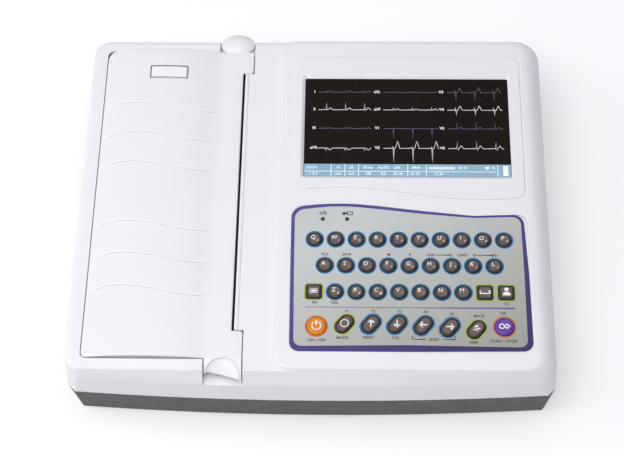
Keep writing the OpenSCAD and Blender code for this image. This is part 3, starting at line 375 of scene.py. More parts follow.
# Nickel plate over a blasted surface: pale and silky
satin_nickel = metal("satin_nickel", "#b4b6ba", "#c4c6ca", 0.3, 8)
# Machined brass: warm yellow reflections
brass = metal("cut_brass", "#c69c48", "#d8b060", 0.32, 4, 0.006)

# Inks
# Printed inks lie flat on the plastic: even and matt, with no grain of their own
white_ink = finish("white_ink", "#f2f2f2", "#fbfbfb", 0.5, size_mm=3)
label_ink = finish("dark_ink", "#2d2420", "#382e29", 0.55, size_mm=3)
# Bare printed polyester: a shade glossier than the moulding round it
plate_white = finish("blank_plate", "#eeeeef", "#f4f4f5", 0.4, size_mm=10, relief_mm=0.004)
# Clear moulded lens over an unlit lamp: dark, with one small sharp highlight
lamp_lens = finish("lamp_lens", "#2b3530", "#35403a", 0.12, size_mm=3)
# Screen-printed colours, as flat as the inks above
divider_ink = finish("pale_violet_ink", "#615d90", "#6b6799", 0.5, size_mm=20)
blue_ink = finish("ring_blue_ink", "#1f74a8", "#2b86bb", 0.5, size_mm=6)
lime_ink = finish("ring_lime_ink", "#9db43c", "#a9bf48", 0.5, size_mm=6)
orange_ink = finish("ring_orange_ink", "#c4671f", "#d0732a", 0.5, size_mm=6)
print("plastics, rubbers, metals and inks:", len(bpy.data.materials))

# %% [markdown]
# The keypad overlay is polyester film, reverse printed in a greenish light grey, with a fine matt texture
# that kills glare. Painted shade darkens the print toward the front right corner. Chart paper is thermal
# paper with a pink millimetre grid: thin lines every millimetre and stronger ones every five.

# %%
# Overlay film and chart paper
# The painted shade runs along x - 2 y, in metres
SHADE_START, SHADE_END = 0.08, 0.42


def paint_shade_to_front_right(mat, code):
    """Paints shade on a print: its colour runs to a second, darker one toward the front right corner of the
    keypad.
    """
    place = add(mat, "ShaderNodeTexCoord").outputs["Object"]
    parts = add(mat, "ShaderNodeSeparateXYZ", {0: place}).outputs
    run = add(mat, "ShaderNodeMath", {0: parts["Y"], 1: -2, 2: parts["X"]}, operation="MULTIPLY_ADD")
    share = add(mat, "ShaderNodeMapRange", {
        "Value": run.outputs[0], "From Min": SHADE_START, "From Max": SHADE_END})
    base = shader_of(mat).inputs["Base Color"]
    shade_mix = add(mat, "ShaderNodeMix", {
        "Factor": share.outputs["Result"], "A": base.links[0].from_socket, "B": linear(code)},
        data_type="RGBA")
    join(mat, shade_mix.outputs["Result"], base)


# Textured polyester film, printed on its back: even colour and a soft, glare-free surface
film = finish("overlay_film", "#c3c7c5", "#c8ccca", 0.5, size_mm=50, relief_mm=0.01, grain_mm=0.8)
# The violet print behind the same film: deep and even
violet_ink = finish("violet_ink", "#494087", "#51488f", 0.5, size_mm=20)
# Painted shade: the film and the violet border darken toward the front right corner
paint_shade_to_front_right(film, "#98978d")
paint_shade_to_front_right(violet_ink, "#281c52")


def grid_lines(mat, coordinate, pitch_mm, line_mm):
    """1 on lines at that pitch along one coordinate, else 0."""
    fold = add(mat, "ShaderNodeMath", {0: coordinate, 1: pitch_mm * MM / 2}, operation="PINGPONG")
    near = add(mat, "ShaderNodeMath", {0: fold.outputs[0], 1: line_mm * MM / 2}, operation="LESS_THAN")
    return near.outputs[0]


def chart_finish(axis_x, axis_z, radius):
    """Thermal paper with a grid that runs round a roll about an axis along Y, all in millimetres."""
    mat = finish("chart_paper", "#f8efec", "#fbf4f1", 0.55, size_mm=25, relief_mm=0.005, grain_mm=0.5)
    place = add(mat, "ShaderNodeTexCoord").outputs["Object"]
    parts = add(mat, "ShaderNodeSeparateXYZ", {0: place}).outputs
    aside, above = (add(mat, "ShaderNodeMath", {0: parts[way], 1: middle * MM}, operation="SUBTRACT")
                    for way, middle in (("X", axis_x), ("Z", axis_z)))
    turn = add(mat, "ShaderNodeMath", {0: aside.outputs[0], 1: above.outputs[0]}, operation="ARCTAN2")
    around = add(mat, "ShaderNodeMath", {0: turn.outputs[0], 1: radius * MM}, operation="MULTIPLY")
    base = shader_of(mat).inputs["Base Color"].links[0].from_socket
    for pitch, line, code in ((1, 0.16, "#f3c9c6"), (5, 0.3, "#e89f9c")):
        for coordinate in (around.outputs[0], parts["Y"]):
            layer = add(mat, "ShaderNodeMix", {
                "Factor": grid_lines(mat, coordinate, pitch, line), "A": base, "B": linear(code)},
                data_type="RGBA")
            base = layer.outputs["Result"]
    join(mat, base, shader_of(mat).inputs["Base Color"])
    return mat


ROLL_X, ROLL_Z, ROLL_R = -115.19, 36.9, 25
chart_paper = chart_finish(ROLL_X, ROLL_Z, ROLL_R)
print("film and paper ready")

# %% [markdown]
# The display is a transflective panel behind dark anti-glare glass: nearly black with a brown cast, and a
# surface etched so that it hardly mirrors the room. Its traces and its blue status strip are lit, so they
# have a little emission.

# %%
# Display finishes


def lit(name, low, high, strength):
    mat = finish(name, low, high, 0.4, size_mm=30)
    shader = shader_of(mat)
    join(mat, shader.inputs["Base Color"].links[0].from_socket, shader.inputs["Emission Color"])
    shader.inputs["Emission Strength"].default_value = strength
    return mat


# Etched anti-glare glass: a dark brown-black with hardly any reflection
display_glass = finish("display_glass", "#1c1613", "#201915", 0.25, size_mm=80, relief_mm=0.002,
                       specular_ior_level=0.08)
# Lit dots and bars of the panel: flat, and a little brighter than the light on them
trace_white = lit("trace_white", "#d9dadb", "#e4e5e6", 0.35)
trace_violet = lit("trace_violet", "#5d5670", "#6a627e", 0.2)
strip_blue = lit("strip_blue", "#7e9daf", "#85a4b5", 0.25)
strip_pale = lit("strip_pale", "#d4e4f2", "#dfecf7", 0.35)
print("display finishes ready")

# %% [markdown]
# ## Camera, floor and light
#
# The camera stands in front of and above the machine, with a long lens. The floor is pale and plain. The key
# light is a soft box high in front and to the left. Weaker ones hang overhead and stand low on the left, and
# a bluish-white room fills the shadows, as in a catalogue picture on white.

# %%
# Camera, floor and light
PITCH, YAW, ROLL = (math.radians(a) for a in (62.02, 3.28, -2.53))
CAMERA_SPOT = (0.02933, -0.54574, 1.05859)
ahead = Vector((-math.sin(YAW) * math.cos(PITCH), math.cos(YAW) * math.cos(PITCH), -math.sin(PITCH)))
level = Vector((math.cos(YAW), math.sin(YAW), 0))
upward = level.cross(ahead)
right = level * math.cos(ROLL) + upward * math.sin(ROLL)
upright = upward * math.cos(ROLL) - level * math.sin(ROLL)
lens = bpy.data.cameras.new("camera")
lens.lens = 88.0
lens.sensor_width = 36.0
lens.clip_start = 0.05
camera = bpy.data.objects.new("camera", lens)
bpy.context.collection.objects.link(camera)
turn = Matrix((right, upright, -ahead)).transposed().to_4x4()
camera.matrix_world = Matrix.Translation(CAMERA_SPOT) @ turn
bpy.context.scene.camera = camera
bpy.context.scene.view_settings.view_transform = "Standard"

floor_skin = finish("floor_paper", "#c4c4c6", "#c8c8ca", 0.9, size_mm=900, emission_color=(1, 1, 1, 1),
                    emission_strength=0.46)
floor = add_object("floor", loft("floor", [at_height(rounded(0, 0, 9000, 9000, 400), z) for z in (-20, 0)]))
floor.data.materials.append(floor_skin)


def soft_box(name, spot, power, width, height):
    """A rectangular light of that size in metres, aimed at the machine."""
    light = bpy.data.lights.new(name, "AREA")
    light.shape = "RECTANGLE"
    light.size, light.size_y = width, height
    light.energy = power
    light.color = linear("#fffefb")[:3]
    lamp = bpy.data.objects.new(name, light)
    bpy.context.collection.objects.link(lamp)
    lamp.location = spot
    lamp.rotation_euler = (Vector((0, 0, 0.05)) - Vector(spot)).to_track_quat("-Z", "Y").to_euler()


soft_box("key_light", (-0.45, -0.6, 1.65), 13.1, 1.0, 0.8)
soft_box("top_light", (0.1, 0.1, 1.8), 7.3, 1.2, 1.2)
soft_box("side_light", (-1.3, -0.1, 0.9), 6.7, 1.0, 1.0)
# The room brightens with height
world = bpy.data.worlds.new("room")
world.use_nodes = True
room = world.node_tree.nodes["Background"]
room.inputs["Color"].default_value = linear("#eceeff")
place = add(world, "ShaderNodeTexCoord").outputs["Generated"]
height = add(world, "ShaderNodeSeparateXYZ", {0: place}).outputs["Z"]
glow = add(world, "ShaderNodeMapRange", {
    "Value": height, "From Min": -0.1, "From Max": 0.9, "To Min": 0.044, "To Max": 0.467})
join(world, glow.outputs["Result"], room.inputs["Strength"])
bpy.context.scene.world = world
print("camera and lights ready")

# %% [markdown]
# ## CAD pieces that keep their shape
#
# Mechanisms, boards and connectors are already exact, so they only need their finish.

# %%
# Finishes for the CAD nodes
SKINS = {
    "keypad_overlay": film, "display_module": display_glass, "main_board": green_board,
    "key_board": green_board, "power_supply": sheet_steel, "printer_frame": frame_pa,
    "print_head": sheet_steel, "stepper_motor": can_steel, "battery_pack": cell_sleeve,
    "battery_door": dark_abs, "mains_inlet": black_nylon, "signal_ports": port_steel, "feet": foot_rubber,
    "screws": screw_steel, "tear_bar": blackened_steel, "platen_roller": platen_rubber,
    "platen_gear": acetal, "idler_gear": acetal, "motor_pinion": brass, "paper_roll": chart_paper,
    "top_shell": white_abs, "base_shell": dark_abs, "paper_lid": white_abs}
for name, skin in SKINS.items():
    for spot in NODES[name].material_slots:
        spot.material = skin
for name, node in NODES.items():
    if name.startswith("key_") and name not in SKINS:
        for spot in node.material_slots:
            spot.material = {"key_power": orange_rubber, "key_ok": violet_rubber}.get(name, key_rubber)
print("CAD nodes with a finish:", len(SKINS))

# %% [markdown]
# ## Printed lines
#
# Traces on the display, ridges on the lid and rings round the keys are all one narrow profile that follows
# a path. Two small node groups make them: one sweeps a flat or round profile along lines, the other sets
# the same ring on a list of points. Both end in a plain mesh.

# %%
# Node groups for lines and rings


def group(name, inputs):
    """A geometry node group with its named inputs."""
    tree = bpy.data.node_groups.new(name, "GeometryNodeTree")
    tree.interface.new_socket("Geometry", in_out="INPUT", socket_type="NodeSocketGeometry")
    for label, kind, value in inputs:
        socket = tree.interface.new_socket(label, in_out="INPUT", socket_type=kind)
        if value is not None:
            socket.default_value = value
    tree.interface.new_socket("Geometry", in_out="OUTPUT", socket_type="NodeSocketGeometry")
    return tree, add(tree, "NodeGroupInput"), add(tree, "NodeGroupOutput")


def chain(tree, start, *kinds):
    """Nodes linked one after another by their geometry sockets."""
    made = []
    for kind in kinds:
        node = add(tree, kind)
        source = next(s for s in start.outputs if s.type == "GEOMETRY")
        join(tree, source, next(s for s in node.inputs if s.type == "GEOMETRY"))
        made.append(node)
        start = node
    return made


def line_group():
    tree, given, result = group("line_along_path", [
        ("Line width", "NodeSocketFloat", 0.0005), ("Line height", "NodeSocketFloat", 0.0001),
        ("Round profile", "NodeSocketBool", False), ("Skin", "NodeSocketMaterial", None)])
    _, facing, sweep, _, skin = chain(
        tree, given, "GeometryNodeMeshToCurve", "GeometryNodeSetCurveNormal", "GeometryNodeCurveToMesh",
        "GeometryNodeRealizeInstances", "GeometryNodeSetMaterial")
    facing.mode = "Z_UP"
    sweep.inputs["Fill Caps"].default_value = True
    width = given.outputs["Line width"]
    flat = add(tree, "GeometryNodeCurvePrimitiveQuadrilateral", {
        "Width": width, "Height": given.outputs["Line height"]})
    half = add(tree, "ShaderNodeMath", {0: width, 1: 0.5}, operation="MULTIPLY")
    bead = add(tree, "GeometryNodeCurvePrimitiveCircle", {"Resolution": 10, "Radius": half.outputs[0]})
    profile = add(tree, "GeometryNodeSwitch", {
        "Switch": given.outputs["Round profile"], "False": flat.outputs["Curve"],
        "True": bead.outputs["Curve"]}, input_type="GEOMETRY")
    join(tree, profile.outputs["Output"], sweep.inputs["Profile Curve"])
    join(tree, given.outputs["Skin"], skin.inputs["Material"])
    join(tree, skin.outputs["Geometry"], result.inputs["Geometry"])
    return tree


def ring_group():
    tree, given, result = group("rings_on_points", [
        ("Ring radius", "NodeSocketFloat", 0.006), ("Ink width", "NodeSocketFloat", 0.001),
        ("Ink height", "NodeSocketFloat", 0.0001), ("Skin", "NodeSocketMaterial", None)])
    ring = add(tree, "GeometryNodeCurvePrimitiveCircle", {
        "Resolution": 48, "Radius": given.outputs["Ring radius"]})
    profile = add(tree, "GeometryNodeCurvePrimitiveQuadrilateral", {
        "Width": given.outputs["Ink width"], "Height": given.outputs["Ink height"]})
    sweep = add(tree, "GeometryNodeCurveToMesh", {
        "Curve": ring.outputs["Curve"], "Profile Curve": profile.outputs["Curve"]})
    _, place, _, skin = chain(
        tree, given, "GeometryNodeMeshToPoints", "GeometryNodeInstanceOnPoints",
        "GeometryNodeRealizeInstances", "GeometryNodeSetMaterial")
    join(tree, sweep.outputs["Mesh"], place.inputs["Instance"])
    join(tree, given.outputs["Skin"], skin.inputs["Material"])
    join(tree, skin.outputs["Geometry"], result.inputs["Geometry"])
    return tree


LINES, RINGS = line_group(), ring_group()


def grown(name, tree, points, edges, values):
    """The plain mesh that a node group grows on points and edges, in millimetres."""
    mesh = bpy.data.meshes.new(name)
    mesh.from_pydata([(x * MM, y * MM, z * MM) for x, y, z in points], edges, [])
    obj = add_object(name, mesh)
    modifier = obj.modifiers.new("grow", "NODES")
    modifier.node_group = tree
    for item in tree.interface.items_tree:
        if item.in_out == "INPUT" and item.name in values:
            modifier[item.identifier] = values[item.name]
    graph = bpy.context.evaluated_depsgraph_get()
    result = bpy.data.meshes.new_from_object(obj.evaluated_get(graph))
    bpy.data.objects.remove(obj)
    bpy.data.meshes.remove(mesh)
    return result


def inked_lines(name, paths, width, height, skin, round_profile=False):
    points, edges = [], []
    for path in paths:
        edges += [(len(points) + i, len(points) + i + 1) for i in range(len(path) - 1)]
        points += path
    return grown(name, LINES, points, edges, {
        "Line width": width * MM, "Line height": height * MM, "Round profile": round_profile, "Skin": skin})


print("node groups:", LINES.name, RINGS.name)

# %% [markdown]
# ## Paper lid
#
# The lid is one thin moulding: a shallow arch from the hinge edge to a flat strip along the paper slot, with
# rolled edges. A visor with a scooped grip hangs over the recess in the front edge and a lens-shaped thumb
# grip stands out at the rear. The skirts and bearing arms underneath come from the exact solid, cut back a
# little so that the modelled skin covers them.

# %%
# Skin tools
ROLL_STEPS = 5
LID_X0, LID_X1, TAB_X1, LID_Y0, LID_Y1, LID_Z = -161.7, -56.0, -48.0, -127.3, 131.0, 74.4
ARCH_W, ARCH_H = 87.0, 4.6


def lid_top(x, y=0.0):
    t = min(1.0, max(0.0, (x - LID_X0) / ARCH_W))
    return LID_Z + ARCH_H * 4 * t * (1 - t)


def inset(outline, amount):
    """An anticlockwise outline moved inwards."""
    n = len(outline)
    result = []
    for i, (x, y) in enumerate(outline):
        u = Vector((x - outline[i - 1][0], y - outline[i - 1][1])).normalized()
        v = Vector((outline[(i + 1) % n][0] - x, outline[(i + 1) % n][1] - y)).normalized()
        normal = Vector((-(u + v).y, (u + v).x)).normalized()
        reach = amount / max(normal.dot(Vector((-v.y, v.x))), 0.5)
        result.append((x + normal.x * reach, y + normal.y * reach))
    return result


def dense(outline, step):
    """The outline with points no further apart than a step."""
    line = []
    for (ax, ay), (bx, by) in zip(outline, outline[1:] + outline[:1]):
        count = max(1, math.ceil(math.hypot(bx - ax, by - ay) / step))
        line += [(ax + (bx - ax) * i / count, ay + (by - ay) * i / count) for i in range(count)]
    return line


def skin_over(name, outline, top, depth, edge, step):
    """A closed plate whose face follows top(x, y), with rolled edges and a constant depth."""
    outline = dense(outline, step)
    n = len(outline)
    levels = [(0.0, -depth), (0.0, -edge)]
    for k in range(1, ROLL_STEPS + 1):
        turn = math.pi / 2 * k / ROLL_STEPS
        levels.append((edge * (1 - math.cos(turn)), -edge * (1 - math.sin(turn))))
    verts = []
    for amount, drop in levels:
        verts += [(x, y, top(x, y) + drop) for x, y in inset(outline, amount)]
    rim = inset(outline, edge)
    xs, ys = [x for x, _ in rim], [y for _, y in rim]
    inner = []
    for i in range(1, int((max(xs) - min(xs)) / step)):
        for j in range(1, int((max(ys) - min(ys)) / step)):
            x, y = min(xs) + i * step, min(ys) + j * step
            if all((x - a) ** 2 + (y - b) ** 2 > (0.6 * step) ** 2 for a, b in rim):
                inner.append((x, y))
    points, _, tris, sources, _, _ = delaunay_2d_cdt(
        [Vector(p) for p in rim + inner], [], [list(range(n))], 1, 1e-6)
    rows, faces = {}, []
    for side, drop in ((0, 0.0), (1, -depth)):
        for i, p in enumerate(points):
            if sources[i] and sources[i][0] < n:
                rows[side, i] = sources[i][0] + (0 if side else (len(levels) - 1) * n)
            else:
                rows[side, i] = len(verts)
                verts.append((p.x, p.y, top(p.x, p.y) + drop))
        faces += [tuple(rows[side, i] for i in tri) for tri in tris]
    for k in range(len(levels) - 1):
        for i in range(n):
            j = (i + 1) % n
            faces.append((k * n + i, k * n + j, (k + 1) * n + j, (k + 1) * n + i))
    return solid(name, verts, faces, 50)


def sheet_grid(name, at, columns, rows, thick):
    """A closed sheet from a grid of points, thickened downwards."""
    upper = [at(i / columns, j / rows) for i in range(columns + 1) for j in range(rows + 1)]
    verts = upper + [(x, y, z - thick) for x, y, z in upper]
    n, w = len(upper), rows + 1
    faces = []
    for i in range(columns):
        for j in range(rows):
            a, b, c, d = i * w + j, i * w + j + 1, (i + 1) * w + j + 1, (i + 1) * w + j
            faces += [(a, b, c, d), (n + a, n + d, n + c, n + b)]
    border = [i * w for i in range(columns)] + [columns * w + j for j in range(rows)]
    border += [i * w + rows for i in range(columns, 0, -1)] + list(range(rows, 0, -1))
    for a, b in zip(border, border[1:] + border[:1]):
        faces.append((a, b, n + b, n + a))
    return solid(name, verts, faces, 50)


print("skin tools ready")

# %%
# Lid skin with its two grips
FRONT_STEP, REAR_STEP = -106.0, 111.5
# Centre and half axes of the rear grip
LENS_X, LENS_Y, LENS_A, LENS_B = -61.25, 138.4, 13.1, 9.6
lid_outline = (
    arc(LID_X0 + 4, LID_Y0 + 4, 4, 180, 270, 8) + [(TAB_X1, LID_Y0)]
    + arc(TAB_X1 - 2.2, FRONT_STEP - 2.2, 2.2, 0, 90, 6)
    + arc(LID_X1 + 1.2, FRONT_STEP + 1.2, 1.2, 270, 180, 5)
    + arc(LID_X1 + 1.2, REAR_STEP - 1.2, 1.2, 180, 90, 5)
    + arc(TAB_X1 - 2.2, REAR_STEP + 2.2, 2.2, 270, 360, 6)
    + [(TAB_X1, LID_Y1)] + arc(LID_X0 + 8, LID_Y1 - 8, 8, 90, 180, 10))
lid_skin = skin_over("lid_skin", lid_outline, lid_top, 1.6, 0.9, 4.0)


def visor(u, v):
    """The grip over the front recess: it droops forward, with a scoop between two hooked rims."""
    x = -74.5 + 26.4 * u
    hook = 1.4 * (math.exp(-(u / 0.06) ** 2) + math.exp(-((1 - u) / 0.06) ** 2))
    y_end = -135.6 - 6.2 * u - hook
    z_end = 71.4 - 1.6 * u - 0.9 * hook
    root = LID_Y0 + 1.0
    away = math.hypot((u - 0.5) / 0.44, (1 - v) / 0.95)
    scoop = 2.1 * max(0.0, 1 - away) ** 0.45 - 0.4 * math.exp(-((away - 1.02) / 0.045) ** 2)
    y = root + (y_end - root) * v
    return (x, y + 0.5 * scoop, LID_Z - 0.05 - (LID_Z - z_end) * v ** 1.7 - scoop)


def thumb_lens(x, y):
    """Height of the rear grip, a lens that sinks into the lid in front and rolls down behind."""
    away = math.hypot((x - LENS_X) / LENS_A, (y - LENS_Y) / LENS_B)
    return 76.6 - 3.2 * away ** 2.4


visor_mesh = sheet_grid("visor", visor, 88, 40, 1.5)
lens_rim = [(LENS_X + LENS_A * x, LENS_Y + LENS_B * y) for x, y in circle(0, 0, 1, 72)]
lens_mesh = skin_over("lens", lens_rim, thumb_lens, 2.6, 0.7, 1.4)
lid_skin = joined("lid_skin", [lid_skin, visor_mesh, lens_mesh])
piece("lid_skin", lid_skin, white_abs, "lid", ["paper_lid"])
print("lid faces:", len(lid_skin.polygons))

# %%
# Skirts and arms under the lid, from the exact solid
bm = bmesh.new()
bm.from_mesh(NODES["paper_lid"].data)
bmesh.ops.remove_doubles(bm, verts=bm.verts, dist=2e-6)
for spot, way in (((0, LID_Y0 + 0.4, 0), (0, -1, 0)), ((0, LID_Y1 - 0.4, 0), (0, 1, 0)),
                  ((LID_X1 - 0.4, 0, 0), (1, 0, 0)), ((LID_X0 + 0.4, 0, 0), (-1, 0, 0))):
    bmesh.ops.bisect_plane(bm, geom=bm.verts[:] + bm.edges[:] + bm.faces[:], clear_outer=True,
                           plane_co=Vector(spot) * MM, plane_no=way)
    bmesh.ops.holes_fill(bm, edges=[e for e in bm.edges if e.is_boundary], sides=0)
for vert in bm.verts:
    x, z = vert.co.x / MM, vert.co.z / MM
    if z > lid_top(x) - 0.6:
        vert.co.z -= 0.7 * MM
bmesh.ops.triangulate(bm, faces=bm.faces)
under = bpy.data.meshes.new("lid_underside")
finish_mesh(bm, under)
if "custom_normal" in under.attributes:
    under.attributes.remove(under.attributes["custom_normal"])
piece("lid_underside", under, white_abs, "lid")
print("underside faces:", len(under.polygons))

# %% [markdown]
# The lid carries six fine raised ribs that stiffen the thin arch and break up the large white face. Each is
# a low bead along a flat S-curve. A blank name plate, a satin label in a bright frame, sits near the rear.

# %%
# Ribs and name plate
RIBS = [
    [(-160.1, 77.4), (-154, 79.2), (-145.4, 82.2), (-133.1, 82.4), (-118.1, 80.5), (-104.2, 77.8),
     (-96.4, 76.3), (-85.2, 75.5), (-75.0, 75.6)],
    [(-159.7, 51.8), (-152.8, 54.2), (-145.1, 56.2), (-132.1, 56.5), (-118.1, 54.7), (-106, 52.5),
     (-95.8, 50.6), (-83.9, 49.8), (-74.6, 50.1)],
    [(-159.6, 25.6), (-152.5, 28.4), (-145.3, 30.5), (-132.3, 30.6), (-118.9, 28.9), (-104.5, 26.1),
     (-96, 24.7), (-85.1, 23.9), (-73.4, 24.1)]]
RIBS += [[(x, y + drop) for x, y in RIBS[2]] for drop in (-50.5, -76.6, -102.9)]


def on_lid(path, lift):
    """Points of a line laid on the lid, faded into the surface at both ends."""
    line = flowing(path, closed=False)
    n = len(line) - 1
    return [(x, y, lid_top(x) + lift - 0.5 * max(0, 1 - 8 * min(i, 2 * (n - i)) / n) ** 2)
            for i, (x, y) in enumerate(line)]


# The ribs are painted lighter than the lid: a painted highlight
ribs = inked_lines("ribs", [on_lid(path, 0.05) for path in RIBS], 1.15, 0.5, rib_highlight, round_profile=True)
piece("lid_ribs", ribs, rib_highlight, "lid")
# A painted shadow line runs along the front foot of each rib
rib_shadow_lines = [[(x, y - 0.75, z - 0.02) for x, y, z in on_lid(path, 0.0)] for path in RIBS]
shade = inked_lines("rib_shadow_strips", rib_shadow_lines, 0.4, 0.12, rib_shade)
piece("lid_rib_painted_shadows", shade, rib_shade, "lid")
PLATE_X, PLATE_Y, PLATE_W, PLATE_D, RIM_W = -113.0, 109.4, 29.4, 11.8, 2.4
plate = skin_over("plate", rounded(PLATE_X, PLATE_Y, PLATE_W, PLATE_D, 1.0, 5),
                  lambda x, y: lid_top(x) + 0.45, 0.7, 0.2, 1.5)
piece("name_plate_frame", plate, satin_nickel, "lid")
face = skin_over("face", rounded(PLATE_X, PLATE_Y, PLATE_W - RIM_W, PLATE_D - RIM_W, 0.5, 5),
                 lambda x, y: lid_top(x) + 0.55, 0.6, 0.1, 1.5)
piece("name_plate_face", face, plate_white, "lid")
print("ribs:", len(RIBS))

# %% [markdown]
# The paper leaves through the slot between the lid and a rounded lip on the deck. Two lamps sit under clear
# windows above the keypad.

# %%
# Slot lip and lamps
FILM_Z = 76.0
INK_Z = FILM_Z + 0.05
lip_section = [(-54.3, 73.6), (-51.3, 73.6)] + [
    (x, 73.95 + 0.45 * (z - 73.95)) for x, z in arc(-52.8, 73.95, 1.5, 0, 180, 10)]
lip = loft("lip", [[(x, y, z) for x, z in lip_section] for y in (-105.4, 110.9)], 50)
piece("slot_lip", lip, white_abs, "chassis")
lamps = [loft("lamp", [at_height(circle(x, -17.05, r, 32), z) for r, z in (
    (1.5, 75.6), (1.5, 76.05), (1.35, 76.25), (0.9, 76.38), (0.3, 76.42))], 60) for x in (7.2, 25.0)]
piece("lamps", joined("lamps", lamps), lamp_lens, "chassis")
print("lip and lamps made")

# %% [markdown]
# ## Display
#
# The recorder shows twelve leads in three columns of four. A heartbeat is a small P wave, the narrow QRS
# spike and a rounded T wave; each lead sees it from another side, so the spike points up in II and V5 and
# down in V1 and V2. Rows one and three are drawn dim violet, two and four white.

# %%
# Traces
SCREEN_X, SCREEN_Y, SCREEN_W, SCREEN_D, GLASS_Z = 69.54, 62.94, 154.08, 85.92, 74.5
COLUMNS = ((0.045, 0.065, 0.325, 0.105), (0.355, 0.385, 0.655, 0.435), (0.672, 0.7, 0.972, 0.745))
ROWS = (0.137, 0.321, 0.515, 0.717)
BEAT = 14.5
# Lead: column, row, spike before the QRS, QRS, dip after it, T wave, all in millimetres
LEADS = {
    "I": (0, 0, 0, 2.2, -0.3, 1.4), "II": (0, 1, 0, 6.3, -0.3, 1.8), "III": (0, 2, 0, 1.6, 0, 0.7),
    "aVR": (0, 3, 0.3, -2.2, 0, -1.6), "aVL": (1, 0, 0, 0.4, 0, 0.4), "aVF": (1, 1, 0, 2.3, -0.2, 1.0),
    "V1": (1, 2, 0.3, -9.4, 0, 0.5), "V2": (1, 3, 1.8, -12.5, 0, 6.3), "V3": (2, 0, 2.6, -8.6, 0, 4.7),
    "V4": (2, 1, 2.4, -4.7, 0, 3.9), "V5": (2, 2, 0, 6.3, -0.4, 1.6), "V6": (2, 3, 0, 6.2, -1.5, 2.5)}


def on_screen(u, v, z=0.0):
    return (SCREEN_X + (u - 0.5) * SCREEN_W, SCREEN_Y + (0.5 - v) * SCREEN_D, GLASS_Z + z)


def trace(column, row, before, spike, after, wave):
    _, start, end, first = COLUMNS[column]
    x0, y, z = on_screen(start, ROWS[row], 0.03)
    line = [(x0, y, z)]
    for k in range(3):
        x = on_screen(first, 0)[0] + k * BEAT
        shape = [(-3.2, 0), (-2.4, 0.35), (-1.7, 0), (-1.1, 0), (-0.75, before), (-0.4, 0), (0, spike),
                 (0.4, after), (0.9, 0), (1.5, 0.1 * wave), (2.6, wave), (3.2, 0.85 * wave), (4.6, 0)]
        line += [(x + dx, y + dy, z) for dx, dy in shape]
    return line + [(on_screen(end, 0)[0], y, z)]


for tone, rows, skin in (("violet", (0, 2), trace_violet), ("white", (1, 3), trace_white)):
    paths = [trace(*lead) for lead in LEADS.values() if lead[1] in rows]
    piece("traces_" + tone, inked_lines("traces", paths, 0.42, 0.06, skin), skin, "chassis")

names = []
for name, lead in LEADS.items():
    x, y, z = on_screen(COLUMNS[lead[0]][0], ROWS[lead[1]])
    names.append(lettering("lead_name", name, 3.3, x, y + 0.4, z, z + 0.05, 0.08))
piece("lead_names", joined("lead_names", names), white_ink, "chassis")
print("leads drawn:", len(LEADS))

# %% [markdown]
# The strip along the bottom of the display holds the status: mode, filters, patient, a dashed gauge, the
# heart rate and the battery. It is drawn as light blue with paler separators and small generic marks.

# %%
# Status strip
BAR_TOP = 0.877


def bar_block(name, u0, u1, v0, v1, z0=0.02, z1=0.06):
    x0, y1, z = on_screen(u0, v0)
    x1, y0, _ = on_screen(u1, v1)
    return prism(name, rounded((x0 + x1) / 2, (y0 + y1) / 2, x1 - x0, y1 - y0, 0.05, 2), z + z0, z + z1)


piece("status_strip", bar_block("strip", 0, 1, BAR_TOP, 1, 0, 0.03), strip_blue, "chassis")
marks = [bar_block("mark", u, u + 0.003, BAR_TOP, 1) for u in (0.13, 0.197, 0.263, 0.5, 0.59, 0.935)]
marks.append(bar_block("mark", 0, 0.93, 0.948, 0.953))
marks.append(bar_block("mark", 0.962, 0.986, 0.89, 0.99))
TEXTS = {
    0.912: ((0.035, "12 CH"), (0.165, "10"), (0.23, "25"), (0.31, "50 Hz"), (0.385, "AUTO"), (0.45, "ON"),
            (0.545, "09:41"), (0.77, "ID 01"), (0.915, "72")),
    0.974: ((0.045, "1 2 3"), (0.165, "mm"), (0.23, "mm"), (0.31, "100"), (0.385, "0.5"), (0.455, "35 Hz"),
            (0.54, "01 01"), (0.65, "12 34"))}
for v, texts in TEXTS.items():
    for u, text in texts:
        x, y, z = on_screen(u, v)
        marks.append(lettering("mark", text, 3.0, x, y, z + 0.02, z + 0.07, 0.04))
marks += [bar_block("dash", 0.605 + i * 0.0085, 0.61 + i * 0.0085, 0.9, 0.928) for i in range(15)]
x, y, z = on_screen(0.885, 0.912)
heart = [(x + 0.105 * 16 * math.sin(a) ** 3,
          y + 0.105 * (13 * math.cos(a) - 5 * math.cos(2 * a) - 2 * math.cos(3 * a) - math.cos(4 * a)))
         for a in (math.tau * i / 28 for i in range(28))]
marks.append(prism("mark", heart[::-1], z + 0.02, z + 0.07))
piece("status_marks", joined("status_marks", marks), strip_pale, "chassis")
print("status marks:", len(marks))

# %% [markdown]
# ## Keypad print
#
# The overlay's border, the rings round the keys and the small labels are silk screened. A ring runs just
# outside each key's hole: blue for letters and arrows, lime for the keys that open something, orange for
# power and start.

# %%
# Overlay border
OUTER_WAVE = [(5.4, -4.7), (24.1, -4.2), (42.7, -5.5), (79.8, -9.8), (116.7, -13.7)]
INNER_WAVE = [(12.3, -6.6), (26, -6.6), (42, -7.9), (80.4, -12.3), (117, -15.4)]
# Corners as x, y and radius, clockwise from the right end of the wave
OUTER_CORNERS = [(153.6, -12.4, 8), (155.6, -60, 0), (156.2, -121, 7), (70, -122.1, 0), (-14.9, -122.3, 7),
                 (-15.5, -60, 0), (-15.9, -7.2, 10)]
INNER_CORNERS = [(151.5, -14.3, 6), (152.2, -60, 0), (152.2, -118, 5.5), (66.3, -116.9, 0),
                 (-12.0, -118.2, 5.5), (-12.9, -60, 0), (-13.3, -9.6, 8)]


